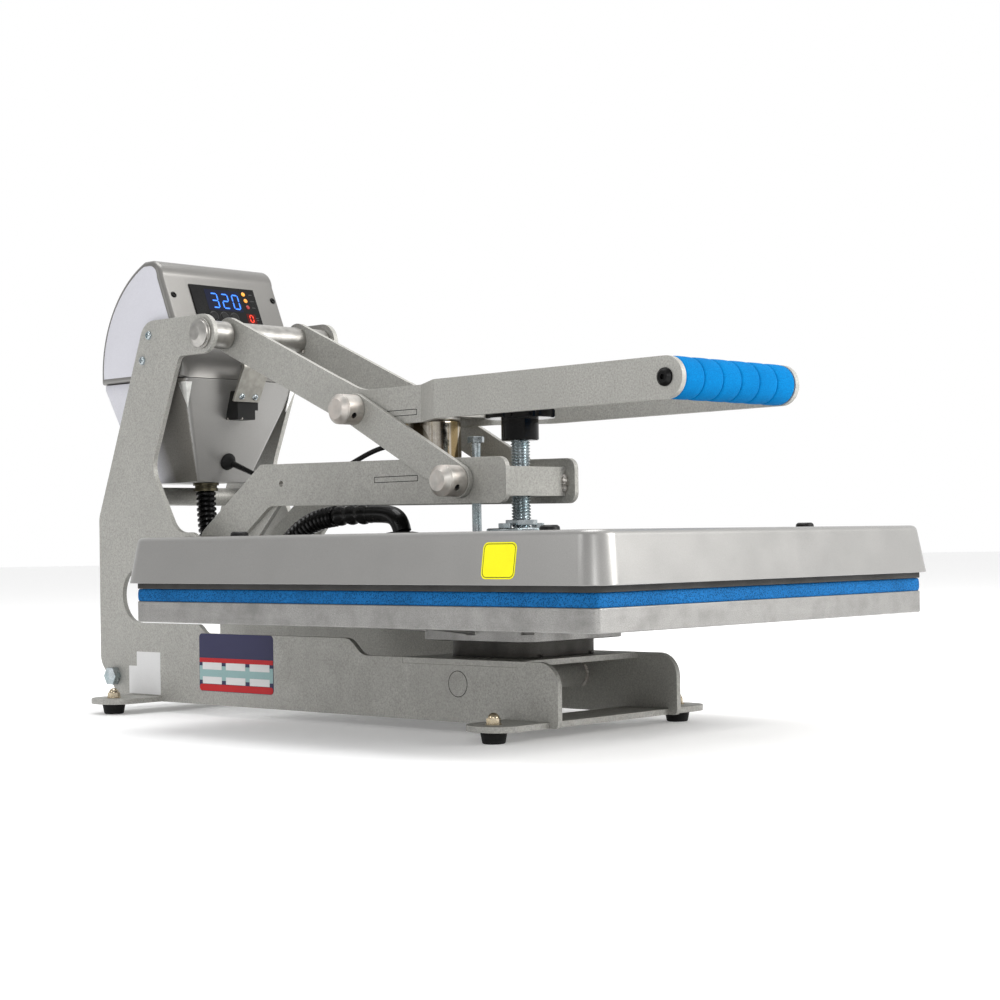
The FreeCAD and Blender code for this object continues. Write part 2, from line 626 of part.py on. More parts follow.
# ---------------------------------------------------------------- toggle links
def toggle_link():
    rise = UPPER_PIN[1] - LOWER_PIN[1]
    run = UPPER_PIN[0] - LOWER_PIN[0]
    length = math.hypot(run, rise)
    end = 14
    outline = [(-end, -end, end - 0.1), (length + end, -end, end - 0.1), (length + end, end, end - 0.1),
               (-end, end, end - 0.1)]
    link = side_plate(outline, LINK_IN, LINK_OUT)
    link.rotate(FreeCAD.Vector(0, 0, 0), FreeCAD.Vector(1, 0, 0), math.degrees(math.atan2(rise, run)))
    link.translate(FreeCAD.Vector(0, *LOWER_PIN))
    for axis in (UPPER_PIN, LOWER_PIN):
        link = link.cut(rod_x(PIN_R + FIT, LINK_IN, LINK_OUT, axis))
    return link


right_link = toggle_link()
save("toggle_link_right", right_link)
save("toggle_link_left", mirrored(right_link))
save("lower_pins", group([pair(turned_x(pin_profile(LINK_IN), LOWER_PIN)), pair(collar(LOWER_PIN))]))


# ---------------------------------------------------------------- platen arm
def arm_side():
    """Right arm plate: long level beam with a leg down to its rear pivot."""
    outline = [(-24.6, 184.2, 9), (-24.6, 222, 9), (279, 226, 5), (373.9, 159.6, 17), (352.3, 128.6, 15),
               (267, 188.3, 14)]
    plate = side_plate(outline, ARM_IN, ARM_OUT)
    plate = plate.cut(rod_x(8 + FIT, ARM_IN, ARM_OUT, ARM_PIVOT))
    plate = plate.cut(rod_x(2.8, ARM_IN, ARM_OUT, LINK_HOLE))
    return plate.cut(box(ARM_IN, ARM_OUT, SLOT_FRONT, SLOT_BACK, MAGNET_LOW - SHEET, MAGNET_LOW))


right_arm = arm_side()
save("arm_plate_right", right_arm)
save("arm_plate_left", mirrored(right_arm))

doubler = side_plate([(252, 197, 4), (262, 212, 4), (285, 212, 10), (368, 157.5, 17), (350, 128, 15),
                      (318, 132, 12)], ARM_IN - SHEET, ARM_IN)
doubler = doubler.cut(rod_x(8 + FIT, ARM_IN - SHEET, ARM_IN, ARM_PIVOT))
save("arm_doublers", pair(doubler))

magnet_bracket = box(-ARM_IN, ARM_IN, 36, 135, MAGNET_LOW - SHEET, MAGNET_LOW)
magnet_tabs = box(-ARM_OUT, ARM_OUT, SLOT_FRONT, SLOT_BACK, MAGNET_LOW - SHEET, MAGNET_LOW)
magnet_bracket = fuse([magnet_bracket, magnet_tabs]).cut(rod_z(4.6, 200, 215, 0, GUIDE_Y))
save("magnet_bracket", magnet_bracket)

pressure_block = box(-ARM_IN, ARM_IN, -14, 20, BLOCK_LOW, BLOCK_HIGH)
save("pressure_block", pressure_block.cut(rod_z(SCREW_R + FIT, BLOCK_LOW, BLOCK_HIGH)))

magnet_top = STRIKER_LOW - TOUCH
magnet = turned_z([(0, MAGNET_LOW), (MAGNET_R, MAGNET_LOW), (MAGNET_R, magnet_top - 1),
                   (MAGNET_R - 1, magnet_top), (0, magnet_top)], 0, MAGNET_Y)
save("electromagnet", magnet)

# ---------------------------------------------------------------- upper platen


def heater_plate():
    """Cast heating plate with a middle boss for the screw and posts for the cover."""
    half_y = PLATEN_Y / 2 + 1.5
    plate = flat_plate(rectangle(PLATEN_X / 2 + 1.5, -half_y, half_y, 10), HEATER_LOW, HEATER_HIGH)
    boss = rod_z(34, HEATER_HIGH, HEATER_BOSS_TOP)
    pieces = [plate, boss, rod_z(9, HEATER_HIGH, HEATER_BOSS_TOP, 0, GUIDE_Y)]
    for x in (-CAP_X, CAP_X):
        for y in (-CAP_Y, CAP_Y):
            pieces.append(rod_z(7, HEATER_HIGH, COVER_HIGH - COVER_SHEET, x, y))
    solid = fuse(pieces).cut(rod_z(SCREW_R + 0.5, SCREW_LOW - 1, HEATER_BOSS_TOP + 1))
    return solid.cut(rod_z(4.05, 140, HEATER_BOSS_TOP + 1, 0, GUIDE_Y))


save("heater_plate", heater_plate())


def cover_block(inset):
    low = COVER_LOW if inset == 0 else COVER_LOW - 1
    high = COVER_HIGH - inset
    draft = COVER_DRAFT * (high - low) / (COVER_HIGH - COVER_LOW)
    return loft([
        (low, COVER_HALF_X - inset, COVER_FRONT + inset, COVER_REAR - inset, 20 - inset),
        (high, COVER_HALF_X - draft - inset, COVER_FRONT + draft + inset, COVER_REAR - draft - inset,
         18 - inset),
    ])


def platen_cover():
    block = cover_block(0)
    top_edges = [edge for edge in block.Edges if edge.BoundBox.ZMin > COVER_HIGH - 0.01]
    cover = block.makeFillet(5, top_edges).cut(cover_block(COVER_SHEET))
    cover = cover.cut(rod_z(24, 155, 165))
    cover = cover.cut(rod_z(5.5, 155, 165, 0, GUIDE_Y))
    return cover


save("platen_cover", platen_cover())

caps = []
for cap_x in (-CAP_X, CAP_X):
    for cap_y in (-CAP_Y, CAP_Y):
        profile = [(0, COVER_HIGH), (7.6, COVER_HIGH), (7.2, 163.6), (5.6, 164.9), (0, 164.9)]
        caps.append(turned_z(profile, cap_x, cap_y))
save("cover_caps", group(caps))

flange = turned_z([(SCREW_R + 0.3, COVER_HIGH), (29, COVER_HIGH), (29, FLANGE_TOP - 0.8),
                   (28.2, FLANGE_TOP), (SCREW_R + 0.3, FLANGE_TOP)])
bolts = []
for bolt_x in (-20, 20):
    flange = flange.cut(rod_z(3.2, 160, 166, bolt_x, 0))
    bolt_head = hexagon(10, 4, FreeCAD.Vector(bolt_x, 0, FLANGE_TOP), FreeCAD.Vector(0, 0, 1))
    bolts.append(bolt_head.fuse(rod_z(3, 150.2, FLANGE_TOP, bolt_x, 0)))
save("screw_flange", flange)
save("flange_bolts", group(bolts))

guide_head = hexagon(13, 5.3, FreeCAD.Vector(0, GUIDE_Y, GUIDE_HEAD_LOW), FreeCAD.Vector(0, 0, 1))
save("guide_bolt", guide_head.fuse(rod_z(4, 140.5, GUIDE_HEAD_LOW, 0, GUIDE_Y)))

grommet = turned_z([(0, COVER_HIGH), (14.6, COVER_HIGH), (14.2, 162.4), (9, 163.2), (0, 163.2)],
                   0, LOOM_EXIT_Y)
save("loom_grommet", grommet)

# ---------------------------------------------------------------- pressure screw
screw = turned_z([(0, SCREW_LOW), (SCREW_R - 1.4, SCREW_LOW), (SCREW_R, SCREW_LOW + 1.4),
                  (SCREW_R, SCREW_HIGH), (0, SCREW_HIGH)])
save("pressure_screw", screw)
jam_nut = hexagon(24, 4.4, FreeCAD.Vector(0, 0, 166.5), FreeCAD.Vector(0, 0, 1))
save("jam_nut", jam_nut.cut(rod_z(SCREW_R, 166, 172)))


def knob():
    """Star knob with its eight-lobed rim at the top and a round hub below."""
    hub_low, rim_low, rim_high = 236.4, 254.8, 262.8
    hub_part = turned_z([(0, hub_low), (14.8, hub_low), (15.6, hub_low + 0.8), (15.6, rim_low),
                         (0, rim_low)])
    rim = turned_z([(0, rim_low), (28.6, rim_low), (29.4, rim_low + 0.8), (29.4, rim_high - 1.6),
                    (27.4, rim_high), (0, rim_high)])
    body = hub_part.fuse(rim)
    lobes = 8
    for i in range(lobes):
        angle = 2 * math.pi * (i + 0.5) / lobes
        body = body.cut(rod_z(5, rim_low - 1, rim_high + 1, 32 * math.cos(angle), 32 * math.sin(angle)))
    return body.cut(rod_z(SCREW_R + 0.02, hub_low, SCREW_HIGH))


save("pressure_knob", knob())

# ---------------------------------------------------------------- cords
LOOM_ROUTE = [(0, 413, 206), (0, 413, 164), (-3, 389, 125), (-8, 345, 113), (-6, 303, 141),
              (-1, 266, 173), (4, 224, 180), (3, 184, 179.5)]
SLEEVE_ROUTE = [(3, 184, 179.5), (2.5, 164, 179.25), (1.2, 151.5, 176.8), (0.2, 144, 170.5),
                (0, LOOM_EXIT_Y, 163.2)]
CABLE_ROUTE = [(0, 370.94, 230.78), (1, 350, 223), (3, 327, 214.5), (6, 299, 210.5), (7, 268, 211),
               (6, 237, 216.5), (3, 207, 226), (0, 178, 235), (-1, 152, 239.6), (-1, 127.75, 240)]
save("heater_loom", cord_tube("heater_loom", LOOM_ROUTE, 19))
save("loom_sleeve", cord_tube("loom_sleeve", SLEEVE_ROUTE, 16))
save("magnet_cable", cord_tube("magnet_cable", CABLE_ROUTE, 4.5))
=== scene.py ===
import json
import random
from math import atan, atan2, copysign, cos, hypot, pi, radians, sin, sqrt

import bmesh
import bpy
from mathutils import Matrix, Vector


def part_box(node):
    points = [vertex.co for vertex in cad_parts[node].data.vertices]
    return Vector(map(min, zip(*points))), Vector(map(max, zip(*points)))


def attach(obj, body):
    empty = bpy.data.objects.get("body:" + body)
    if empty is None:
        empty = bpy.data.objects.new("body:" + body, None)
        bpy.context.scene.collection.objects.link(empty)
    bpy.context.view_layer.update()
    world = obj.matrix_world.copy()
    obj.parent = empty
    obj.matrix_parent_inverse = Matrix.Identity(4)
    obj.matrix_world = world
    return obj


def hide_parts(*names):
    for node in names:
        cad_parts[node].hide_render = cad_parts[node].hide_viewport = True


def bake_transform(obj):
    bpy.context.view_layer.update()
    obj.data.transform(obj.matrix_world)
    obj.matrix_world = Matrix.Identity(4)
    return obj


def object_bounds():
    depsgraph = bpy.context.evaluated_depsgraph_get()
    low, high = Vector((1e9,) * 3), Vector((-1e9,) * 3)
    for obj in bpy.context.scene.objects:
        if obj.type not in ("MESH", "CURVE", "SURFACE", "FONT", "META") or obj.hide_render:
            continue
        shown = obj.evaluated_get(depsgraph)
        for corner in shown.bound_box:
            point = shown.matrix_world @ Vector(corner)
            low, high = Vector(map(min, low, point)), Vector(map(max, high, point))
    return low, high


# Looks of the clamshell heat press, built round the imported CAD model. Metres, with MM for
# sizes that are easier to read in millimetres.
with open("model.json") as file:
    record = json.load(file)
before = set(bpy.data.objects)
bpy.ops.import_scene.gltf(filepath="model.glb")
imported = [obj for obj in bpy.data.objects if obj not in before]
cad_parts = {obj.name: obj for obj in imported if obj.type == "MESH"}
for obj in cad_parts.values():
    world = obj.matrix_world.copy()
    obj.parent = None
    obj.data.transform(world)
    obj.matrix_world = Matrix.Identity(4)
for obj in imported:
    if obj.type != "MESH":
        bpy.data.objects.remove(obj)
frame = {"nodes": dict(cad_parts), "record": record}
cad_low, cad_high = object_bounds()
NODES = frame["nodes"]
MM = 0.001
PLATE_THICK = 4.8 * MM          # side plates
UP = Vector((0, 0, 1))
ACROSS = Vector((1, 0, 0))
SIDES = ((-1, "left"), (1, "right"))


# ---- places read from the frame
def low(node):
    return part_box(node)[0]


def high(node):
    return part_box(node)[1]


def middle(node):
    return (low(node) + high(node)) / 2


def outer_x(node, side):
    """X of the node's face on the left (-1) or right (1)."""
    return (low(node) if side < 0 else high(node)).x


# ---- materials
def feed(tree, node, socket, value):
    """Set an input to a value, or link another node's output to it."""
    if isinstance(value, bpy.types.NodeSocket):
        tree.links.new(value, node.inputs[socket])
    else:
        node.inputs[socket].default_value = value


def add_node(tree, kind, inputs=None, **settings):
    """New node with its settings and inputs; gives its outputs."""
    node = tree.nodes.new(kind)
    for name, value in settings.items():
        setattr(node, name, value)
    for socket, value in (inputs or {}).items():
        feed(tree, node, socket, value)
    return node.outputs


def map_range(tree, value, start, end, low_value, high_value):
    return add_node(tree, "ShaderNodeMapRange", {
        "Value": value, "From Min": start, "From Max": end,
        "To Min": low_value, "To Max": high_value})["Result"]


class Finish:
    """A Principled material and the node chains that every finish below is made of."""

    def __init__(self, name, **values):
        self.material = bpy.data.materials.new(name)
        self.material.use_nodes = True
        self.tree = self.material.node_tree
        self.shader = self.tree.nodes["Principled BSDF"]
        self.place = self.node("TexCoord")["Object"]
        self.normal = None
        for socket, value in values.items():
            self.paint(socket.replace("_", " "), value)

    def node(self, kind, inputs=None, **settings):
        return add_node(self.tree, "ShaderNode" + kind, inputs, **settings)

    def noise(self, size_mm, detail, rough=0.5, stretch=None):
        """Noise whose features are about size_mm across."""
        place = self.place
        if stretch:
            place = self.node("Mapping", {"Vector": place, "Scale": stretch})["Vector"]
        return self.node("TexNoise", {"Vector": place, "Scale": 1000 / size_mm, "Detail": detail,
                                      "Roughness": rough})["Fac"]

    def cells(self, size_mm):
        """Distance to the nearest of scattered points about size_mm apart."""
        return self.node("TexVoronoi", {"Vector": self.place, "Scale": 1000 / size_mm})["Distance"]

    def spread(self, value, start, end, low_value=0.0, high_value=1.0):
        """Value mapped from start..end onto low_value..high_value, clamped."""
        return map_range(self.tree, value, start, end, low_value, high_value)

    def times(self, a, b):
        return self.node("Math", {0: a, 1: b}, operation="MULTIPLY")[0]

    def mix(self, share, first, second):
        return self.node("Mix", {0: share, 6: first, 7: second}, data_type="RGBA")[2]

    def edges(self, radius_mm):
        """0 on open faces, rising to 1 along edges and corners, for wear and handling marks."""
        rounded = self.node("Bevel", {"Radius": radius_mm * MM}, samples=4)["Normal"]
        plain = self.node("NewGeometry")["Normal"]
        dot = self.node("VectorMath", {0: rounded, 1: plain}, operation="DOT_PRODUCT")["Value"]
        return self.spread(dot, 0.995, 0.88)

    def bump(self, height, depth_mm, strength):
        """Bump laid over the bumps that the finish already has."""
        inputs = {"Strength": strength, "Distance": depth_mm * MM, "Height": height}
        if self.normal is not None:
            inputs["Normal"] = self.normal
        self.normal = self.node("Bump", inputs)["Normal"]
        self.paint("Normal", self.normal)

    def paint(self, socket, value):
        feed(self.tree, self.shader, socket, value)

    def tones(self, mask, start, end, colour, dark, light):
        """One colour, dimmed by dark where the mask is at start and raised by light at end."""
        return self.mix(self.spread(mask, start, end), lighter(colour, dark), lighter(colour, light))

    def patches(self, tone, mask, start, end, share, over):
        """Up to a share of the colour over, laid on the tone as the mask goes from start to end."""
        return self.mix(self.spread(mask, start, end, 0.0, share), tone, over)

    def rubbed(self, tone, radius_mm, share, over):
        """A share of the colour over, laid along edges."""
        return self.mix(self.times(self.edges(radius_mm), share), tone, over)

    def vary_roughness(self, mask, smoothest, roughest):
        self.paint("Roughness", self.spread(mask, 0.3, 0.7, smoothest, roughest))


def grey(value, warm=0.0):
    """Linear grey, a little warmer (towards yellow) or cooler."""
    return (value * (1 + warm * 0.5), value, value * (1 - warm), 1)


def lighter(colour, factor):
    return tuple(min(1.0, channel * factor) for channel in colour[:3]) + (1,)


def powder_coat(name, colour):
    """Silver powder coat: sand-like grain, tiny bright and dark flakes, rubbed edges."""
    f = Finish(name, Metallic=0.42, Roughness=0.5, Specular_IOR_Level=0.5)
    grain = f.noise(1.5, 4.0, 0.75)
    tone = f.tones(grain, 0.3, 0.7, colour, 0.66, 1.3)
    tone = f.patches(tone, f.noise(55, 3.0), 0.35, 0.7, 0.4, lighter(colour, 0.84))
    tone = f.patches(tone, f.cells(1.6), 0.18, 0.05, 0.6, lighter(colour, 1.7))
    f.paint("Base Color", f.rubbed(tone, 0.8, 0.35, lighter(colour, 1.45)))
    f.vary_roughness(f.noise(14, 2.0), 0.44, 0.58)
    f.bump(grain, 0.10, 0.55)
    f.bump(f.noise(3.5, 2.0), 0.10, 0.25)
    return f.material


def satin_paint(name, colour, rough=0.36, metal=0.5):
    """Smooth silver paint with a fine metallic flake and slight orange peel."""
    f = Finish(name, Metallic=metal, Roughness=rough, Coat_Weight=0.25, Coat_Roughness=0.22)
    tone = f.tones(f.noise(0.45, 2.0, 0.6), 0.35, 0.65, colour, 0.93, 1.07)
    tone = f.patches(tone, f.noise(90, 3.0), 0.4, 0.7, 0.3, lighter(colour, 0.92))
    f.paint("Base Color", f.rubbed(tone, 0.7, 0.3, lighter(colour, 1.3)))
    f.vary_roughness(f.noise(30, 3.0), rough - 0.04, rough + 0.06)
    f.bump(f.noise(2.6, 1.0), 0.05, 0.25)
    return f.material


def cast_metal(name, colour, rough, stain, metal=1.0):
    """Cast or sand-textured metal with clouds of tone, pits and streaks along the rim."""
    f = Finish(name, Metallic=metal, Roughness=rough)
    grain = f.noise(0.9, 4.0, 0.7)
    clouds = f.noise(26, 5.0, 0.6)
    streaks = f.noise(9, 3.0, 0.6, stretch=(0.12, 0.12, 1.0))
    pits = f.cells(3.6)
    tone = f.tones(grain, 0.35, 0.65, colour, 0.82, 1.2)
    tone = f.patches(tone, clouds, 0.42, 0.68, stain, lighter(colour, 0.62))
    tone = f.patches(tone, streaks, 0.5, 0.72, 0.35, lighter(colour, 1.25))
    f.paint("Base Color", f.rubbed(tone, 1.0, 0.5, lighter(colour, 1.6)))
    f.vary_roughness(clouds, rough - 0.08, rough + 0.12)
    f.bump(grain, 0.16, 0.5)
    f.bump(f.spread(pits, 0.05, 0.16), 0.12, 0.3)
    return f.material


def plated(name, colour, rough, tint=None, lines=None, grain=0.02):
    """Plated or turned steel: bright, with faint tool marks and a drifting tint."""
    f = Finish(name, Metallic=1.0, Roughness=rough)
    tone = f.tones(f.noise(7, 3.0), 0.35, 0.65, colour, 0.86, 1.1)
    if tint:
        tone = f.patches(tone, f.noise(11, 2.0), 0.45, 0.62, 0.7, tint)
    f.paint("Base Color", f.rubbed(tone, 0.4, 0.5, lighter(colour, 1.5)))
    f.vary_roughness(f.noise(4, 3.0), rough - 0.05, rough + 0.09)
    if lines:
        f.bump(f.noise(0.35, 2.0, 0.6, stretch=lines), 0.03, 0.35)
    f.bump(f.noise(0.6, 2.0), grain, 0.4)
    return f.material


def chrome_painted_reflections(name):
    """Chromed cylinder wall with painted reflections: upright dark-brown, tan and bronze bands in its
    colour stand in for the plates that the chrome mirrors.
    """
    f = Finish(name, Metallic=1.0, Roughness=0.12)
    streaks = f.noise(9, 2.0, 0.5, stretch=(1, 1, 0.02))
    # Painted reflection: dark-brown to tan bands, and the bronze ones below, mimic the plates mirrored
    # in the chrome.
    tone = f.mix(f.spread(streaks, 0.36, 0.46), (0.10, 0.075, 0.05, 1), (0.60, 0.56, 0.50, 1))
    f.paint("Base Color", f.patches(tone, streaks, 0.54, 0.6, 1.0, (0.30, 0.22, 0.11, 1)))
    f.vary_roughness(f.noise(4, 3.0), 0.08, 0.2)
    f.bump(f.noise(2, 2.0, 0.5, stretch=(1, 1, 0.05)), 0.02, 0.3)
    return f.material


def moulded(name, colour, rough, grain_mm=0.8, depth_mm=0.03):
    """Moulded plastic or rubber with a fine surface grain and dusty, slightly scuffed patches."""
    f = Finish(name, Roughness=rough, Specular_IOR_Level=0.22)
    dust = f.noise(18, 5.0, 0.6)
    tone = f.patches(colour, dust, 0.45, 0.75, 0.5, lighter(colour, 1.6))
    f.paint("Base Color", f.rubbed(tone, 0.5, 0.3, lighter(colour, 2.4)))
    f.vary_roughness(dust, rough - 0.06, rough + 0.12)
    f.bump(f.noise(grain_mm, 3.0, 0.6), depth_mm, 0.5)
    return f.material


def sponge(name, colour, bright, cell_mm, depth_mm, rough):
    """Closed-cell sponge or foam: cut cells, and colour that varies from cell to cell."""
    f = Finish(name, Roughness=rough, Specular_IOR_Level=0.06)
    cell = f.cells(cell_mm)
    fine = f.noise(cell_mm * 0.7, 3.0, 0.65)
    tone = f.mix(f.spread(cell, 0.1, 0.55), lighter(colour, 0.62), bright)
    tone = f.patches(tone, fine, 0.35, 0.7, 0.6, colour)
    f.paint("Base Color", f.patches(tone, f.noise(40, 3.0), 0.4, 0.7, 0.3, lighter(colour, 0.8)))
    f.bump(cell, depth_mm, 0.5)
    f.bump(fine, depth_mm * 0.6, 0.4)
    return f.material


def flat_print(name, colour, rough=0.4):
    """Printed vinyl: even colour broken by a faint print grain and handling marks."""
    f = Finish(name, Roughness=rough, Specular_IOR_Level=0.2)
    tone = f.tones(f.noise(0.5, 2.0), 0.3, 0.7, colour, 0.95, 1.04)
    f.paint("Base Color", f.patches(tone, f.noise(12, 4.0), 0.5, 0.75, 0.25, lighter(colour, 0.85)))
    f.bump(f.noise(2.0, 2.0), 0.01, 0.3)
    return f.material


def lamp(name, colour, strength):
    """A lit display element with a slightly uneven glow."""
    f = Finish(name, Roughness=0.35, Emission_Strength=strength)
    grain = f.noise(1.5, 2.0)
    f.paint("Base Color", f.tones(grain, 0.3, 0.7, colour, 0.3, 0.5))
    f.paint("Emission Color", f.tones(grain, 0.3, 0.7, colour, 0.8, 1.15))
    return f.material


def backdrop_paper(name):
    """Matt white paper that glows faintly, so that the floor stays pale."""
    f = Finish(name, Roughness=0.75, Emission_Color=(1, 1, 1, 1), Emission_Strength=0.15)
    f.paint("Base Color", f.mix(f.spread(f.noise(60, 3.0), 0.3, 0.7), grey(0.93), grey(0.96)))
    f.bump(f.noise(5, 3.0), 0.05, 0.2)
    return f.material


SILVER = (0.385, 0.38, 0.355, 1)
MATERIALS = {
    "powder_coat": powder_coat("powder_coat_silver", SILVER),
    "satin_paint": satin_paint("satin_silver", grey(0.28, 0.03)),
    "cast_aluminium": cast_metal("cast_aluminium", grey(0.30, 0.03), 0.46, 0.55),
    "cast_dark_heater": cast_metal("heater_casting", grey(0.03, 0.05), 0.6, 0.4, metal=0.3),
    # Dark casting whose tone is lowered further as painted shade, for the shaded parts inside the
    # base.
    "cast_dark": cast_metal("dark_casting_and_painted_shade", grey(0.065, 0.10), 0.55, 0.7, metal=0.6),
    "silicone_blue": sponge("blue_silicone", (0.0, 0.035, 0.10, 1), (0.012, 0.15, 0.42, 1),
                            1.3, 0.3, 0.6),
    "black_rubber": moulded("black_rubber", (0.006, 0.006, 0.006, 1), 0.6, 0.5, 0.05),
    "zinc": plated("clear_zinc", (0.44, 0.48, 0.50, 1), 0.25, (0.33, 0.41, 0.43, 1)),
    "bare_steel": plated("turned_steel", (0.40, 0.39, 0.37, 1), 0.36, lines=(12, 1, 1)),
    "bright_nickel": plated("bright_nickel", (0.52, 0.50, 0.47, 1), 0.44, (0.56, 0.51, 0.47, 1),
                            grain=0.06),
    "magnet_chrome": chrome_painted_reflections("chrome"),
    "black_oxide": plated("black_oxide", (0.02, 0.02, 0.02, 1), 0.34),
    "brass": plated("olive_brass", (0.10, 0.09, 0.06, 1), 0.35),
    "panel_black": moulded("display_film", (0.003, 0.003, 0.003, 1), 0.2, 2.0, 0.004),
    "black_plastic": moulded("black_plastic", (0.006, 0.006, 0.006, 1), 0.42, 0.6, 0.03),
    "knob_black": moulded("glossy_phenolic", (0.002, 0.002, 0.002, 1), 0.09, 3.0, 0.004),
    "loom_black": moulded("loom_black", (0.003, 0.003, 0.003, 1), 0.2, 1.5, 0.03),
    "grip_foam": sponge("blue_foam", (0.0, 0.11, 0.33, 1), (0.0, 0.19, 0.48, 1), 0.7, 0.10, 0.8),
    "circuit_board": moulded("circuit_board", (0.02, 0.12, 0.04, 1), 0.4),
}
PEARL = satin_paint("pearl_end_cap", (0.60, 0.60, 0.65, 1), 0.42, 0.1)


def pan_side_painted_shade():
    """Pearl side wall with painted shade: darker satin silver in front, where the side plate shades
    it, turning pearl behind Y = 0.305 to 0.33 m.
    """
    f = Finish("pan_side_painted_shade", Metallic=0.3, Roughness=0.4)
    share = f.spread(f.node("SeparateXYZ", {0: f.place})["Y"], 0.305, 0.33)
    flake = f.spread(f.noise(1.2, 3.0), 0.3, 0.7)
    # Painted shade: this darker silver on the front of the wall stands in for the side plate's shadow.
    silver = f.mix(flake, grey(0.13, 0.1), grey(0.18, 0.1))
    pearl = f.mix(flake, (0.48, 0.48, 0.52, 1), (0.54, 0.54, 0.58, 1))
    f.paint("Base Color", f.mix(share, silver, pearl))
    f.bump(f.noise(2.6, 1.0), 0.05, 0.25)
    return f.material


# ---- mesh helpers
def new_piece(name, bm, body, slot, material=None, smooth=True, replaces=()):
    """Turn a bmesh into a piece that rides on a body and takes its finish from a record slot."""
    bmesh.ops.recalc_face_normals(bm, faces=bm.faces)
    mesh = bpy.data.meshes.new(name)
    bm.to_mesh(mesh)
    bm.free()
    piece = bpy.data.objects.new(name, mesh)
    bpy.context.scene.collection.objects.link(piece)
    mesh.materials.append(material or MATERIALS[slot])
    if smooth:
        mesh.shade_smooth()
        mesh.set_sharp_from_angle(angle=radians(38))
    if body:
        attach(piece, body)
    if replaces:
        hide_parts(*replaces)
    return piece


def smooth_by_angle():
    """Geometry nodes that shade smooth and keep edges sharper than 30 degrees crisp."""
    group = bpy.data.node_groups.new("smooth_by_angle", "GeometryNodeTree")
    for way in ("INPUT", "OUTPUT"):
        group.interface.new_socket("Geometry", in_out=way, socket_type="NodeSocketGeometry")
    given = group.nodes.new("NodeGroupInput").outputs[0]
    smooth = add_node(group, "GeometryNodeSetShadeSmooth", {"Geometry": given})[0]
    angle = add_node(group, "GeometryNodeInputMeshEdgeAngle")["Unsigned Angle"]
    sharp = add_node(group, "FunctionNodeCompare", {0: angle, 1: radians(30)},
                     operation="GREATER_THAN")[0]
    crisp = add_node(group, "GeometryNodeSetShadeSmooth",
                     {"Geometry": smooth, "Selection": sharp, "Shade Smooth": False}, domain="EDGE")[0]
    feed(group, group.nodes.new("NodeGroupOutput"), 0, crisp)
    return group


SMOOTH = smooth_by_angle()


def bevelled(piece, width_mm):
    """Weld split vertices, merge flat faces and round the edges, so that they catch the light."""
    weld = piece.modifiers.new("weld", "WELD")
    weld.merge_threshold = 0.004 * MM
    flat = piece.modifiers.new("flat", "DECIMATE")
    flat.decimate_type = "DISSOLVE"
    flat.angle_limit = radians(0.3)
    piece.modifiers.new("smooth", "NODES").node_group = SMOOTH
    bevel = piece.modifiers.new("bevel", "BEVEL")
    bevel.width = width_mm * MM
    bevel.segments = 2
    bevel.limit_method = "ANGLE"
    bevel.angle_limit = radians(32)
    bevel.harden_normals = True
    bevel.use_clamp_overlap = True
    return piece


def arc(start, through, end, steps):
    """Points on the circle through three points, from start to end."""
    (ax, ay), (bx, by), (cx, cy) = start, through, end
    d = 2 * (ax * (by - cy) + bx * (cy - ay) + cx * (ay - by))
    aa, bb, cc = ax**2 + ay**2, bx**2 + by**2, cx**2 + cy**2
    ux = (aa * (by - cy) + bb * (cy - ay) + cc * (ay - by)) / d
    uy = (aa * (cx - bx) + bb * (ax - cx) + cc * (bx - ax)) / d
    radius = hypot(ax - ux, ay - uy)
    first = atan2(ay - uy, ax - ux)
    turn = (atan2(cy - uy, cx - ux) - first + pi) % (2 * pi) - pi
    angles = [first + turn * i / steps for i in range(steps + 1)]
    return [(ux + radius * cos(angle), uy + radius * sin(angle)) for angle in angles]


def circle(radius, steps=40):
    angles = [2 * pi * i / steps for i in range(steps)]
    return [(radius * cos(angle), radius * sin(angle)) for angle in angles]


def inset_loop(loop, distance):
    """Closed 2-D loop moved inwards by distance, each point along its own bisector."""
    moved = []
    area = sum(a[0] * b[1] - b[0] * a[1] for a, b in zip(loop, loop[1:] + loop[:1]))
    turn = 1 if area > 0 else -1
    for before, here, after in zip(loop[-1:] + loop[:-1], loop, loop[1:] + loop[:1]):
        back = (Vector(here) - Vector(before)).normalized()
        ahead = (Vector(after) - Vector(here)).normalized()
        normal = (Vector((-back.y, back.x)) + Vector((-ahead.y, ahead.x))).normalized() * turn
        cosine = max(0.5, normal.dot(Vector((-ahead.y, ahead.x)) * turn))
        moved.append(tuple(Vector(here) + normal * distance / cosine))
    return moved


def skin(bm, loops, caps=True):
    """Quads between successive closed rings of points, with end caps."""
    rings = [[bm.verts.new(point) for point in loop] for loop in loops]
    count = len(rings[0])
    for ring, following in zip(rings, rings[1:]):
        for i in range(count):
            j = (i + 1) % count
            bm.faces.new((ring[i], ring[j], following[j], following[i]))
    if caps:
        bm.faces.new(rings[0])
        bm.faces.new(rings[-1])


def turned_to(axis):
    """Rotation that takes +Z to the axis."""
    return UP.rotation_difference(Vector(axis)).to_matrix()


def lathe(bm, profile, centre, axis, around):
    """Surface of revolution: profile is (along, radius) pairs measured from centre along axis."""
    turn = turned_to(axis)
    skin(bm, [[Vector(centre) + turn @ Vector((x, y, along)) for x, y in circle(radius, around)]
              for along, radius in profile])


def slab(bm, outline, origin, across, up, thickness):
    """Plate with a 2-D outline on the plane through origin, standing thickness proud of it."""
    normal = across.cross(up).normalized()
    base = [origin + across * x + up * y for x, y in outline]
    skin(bm, [base, [point + normal * thickness for point in base]])


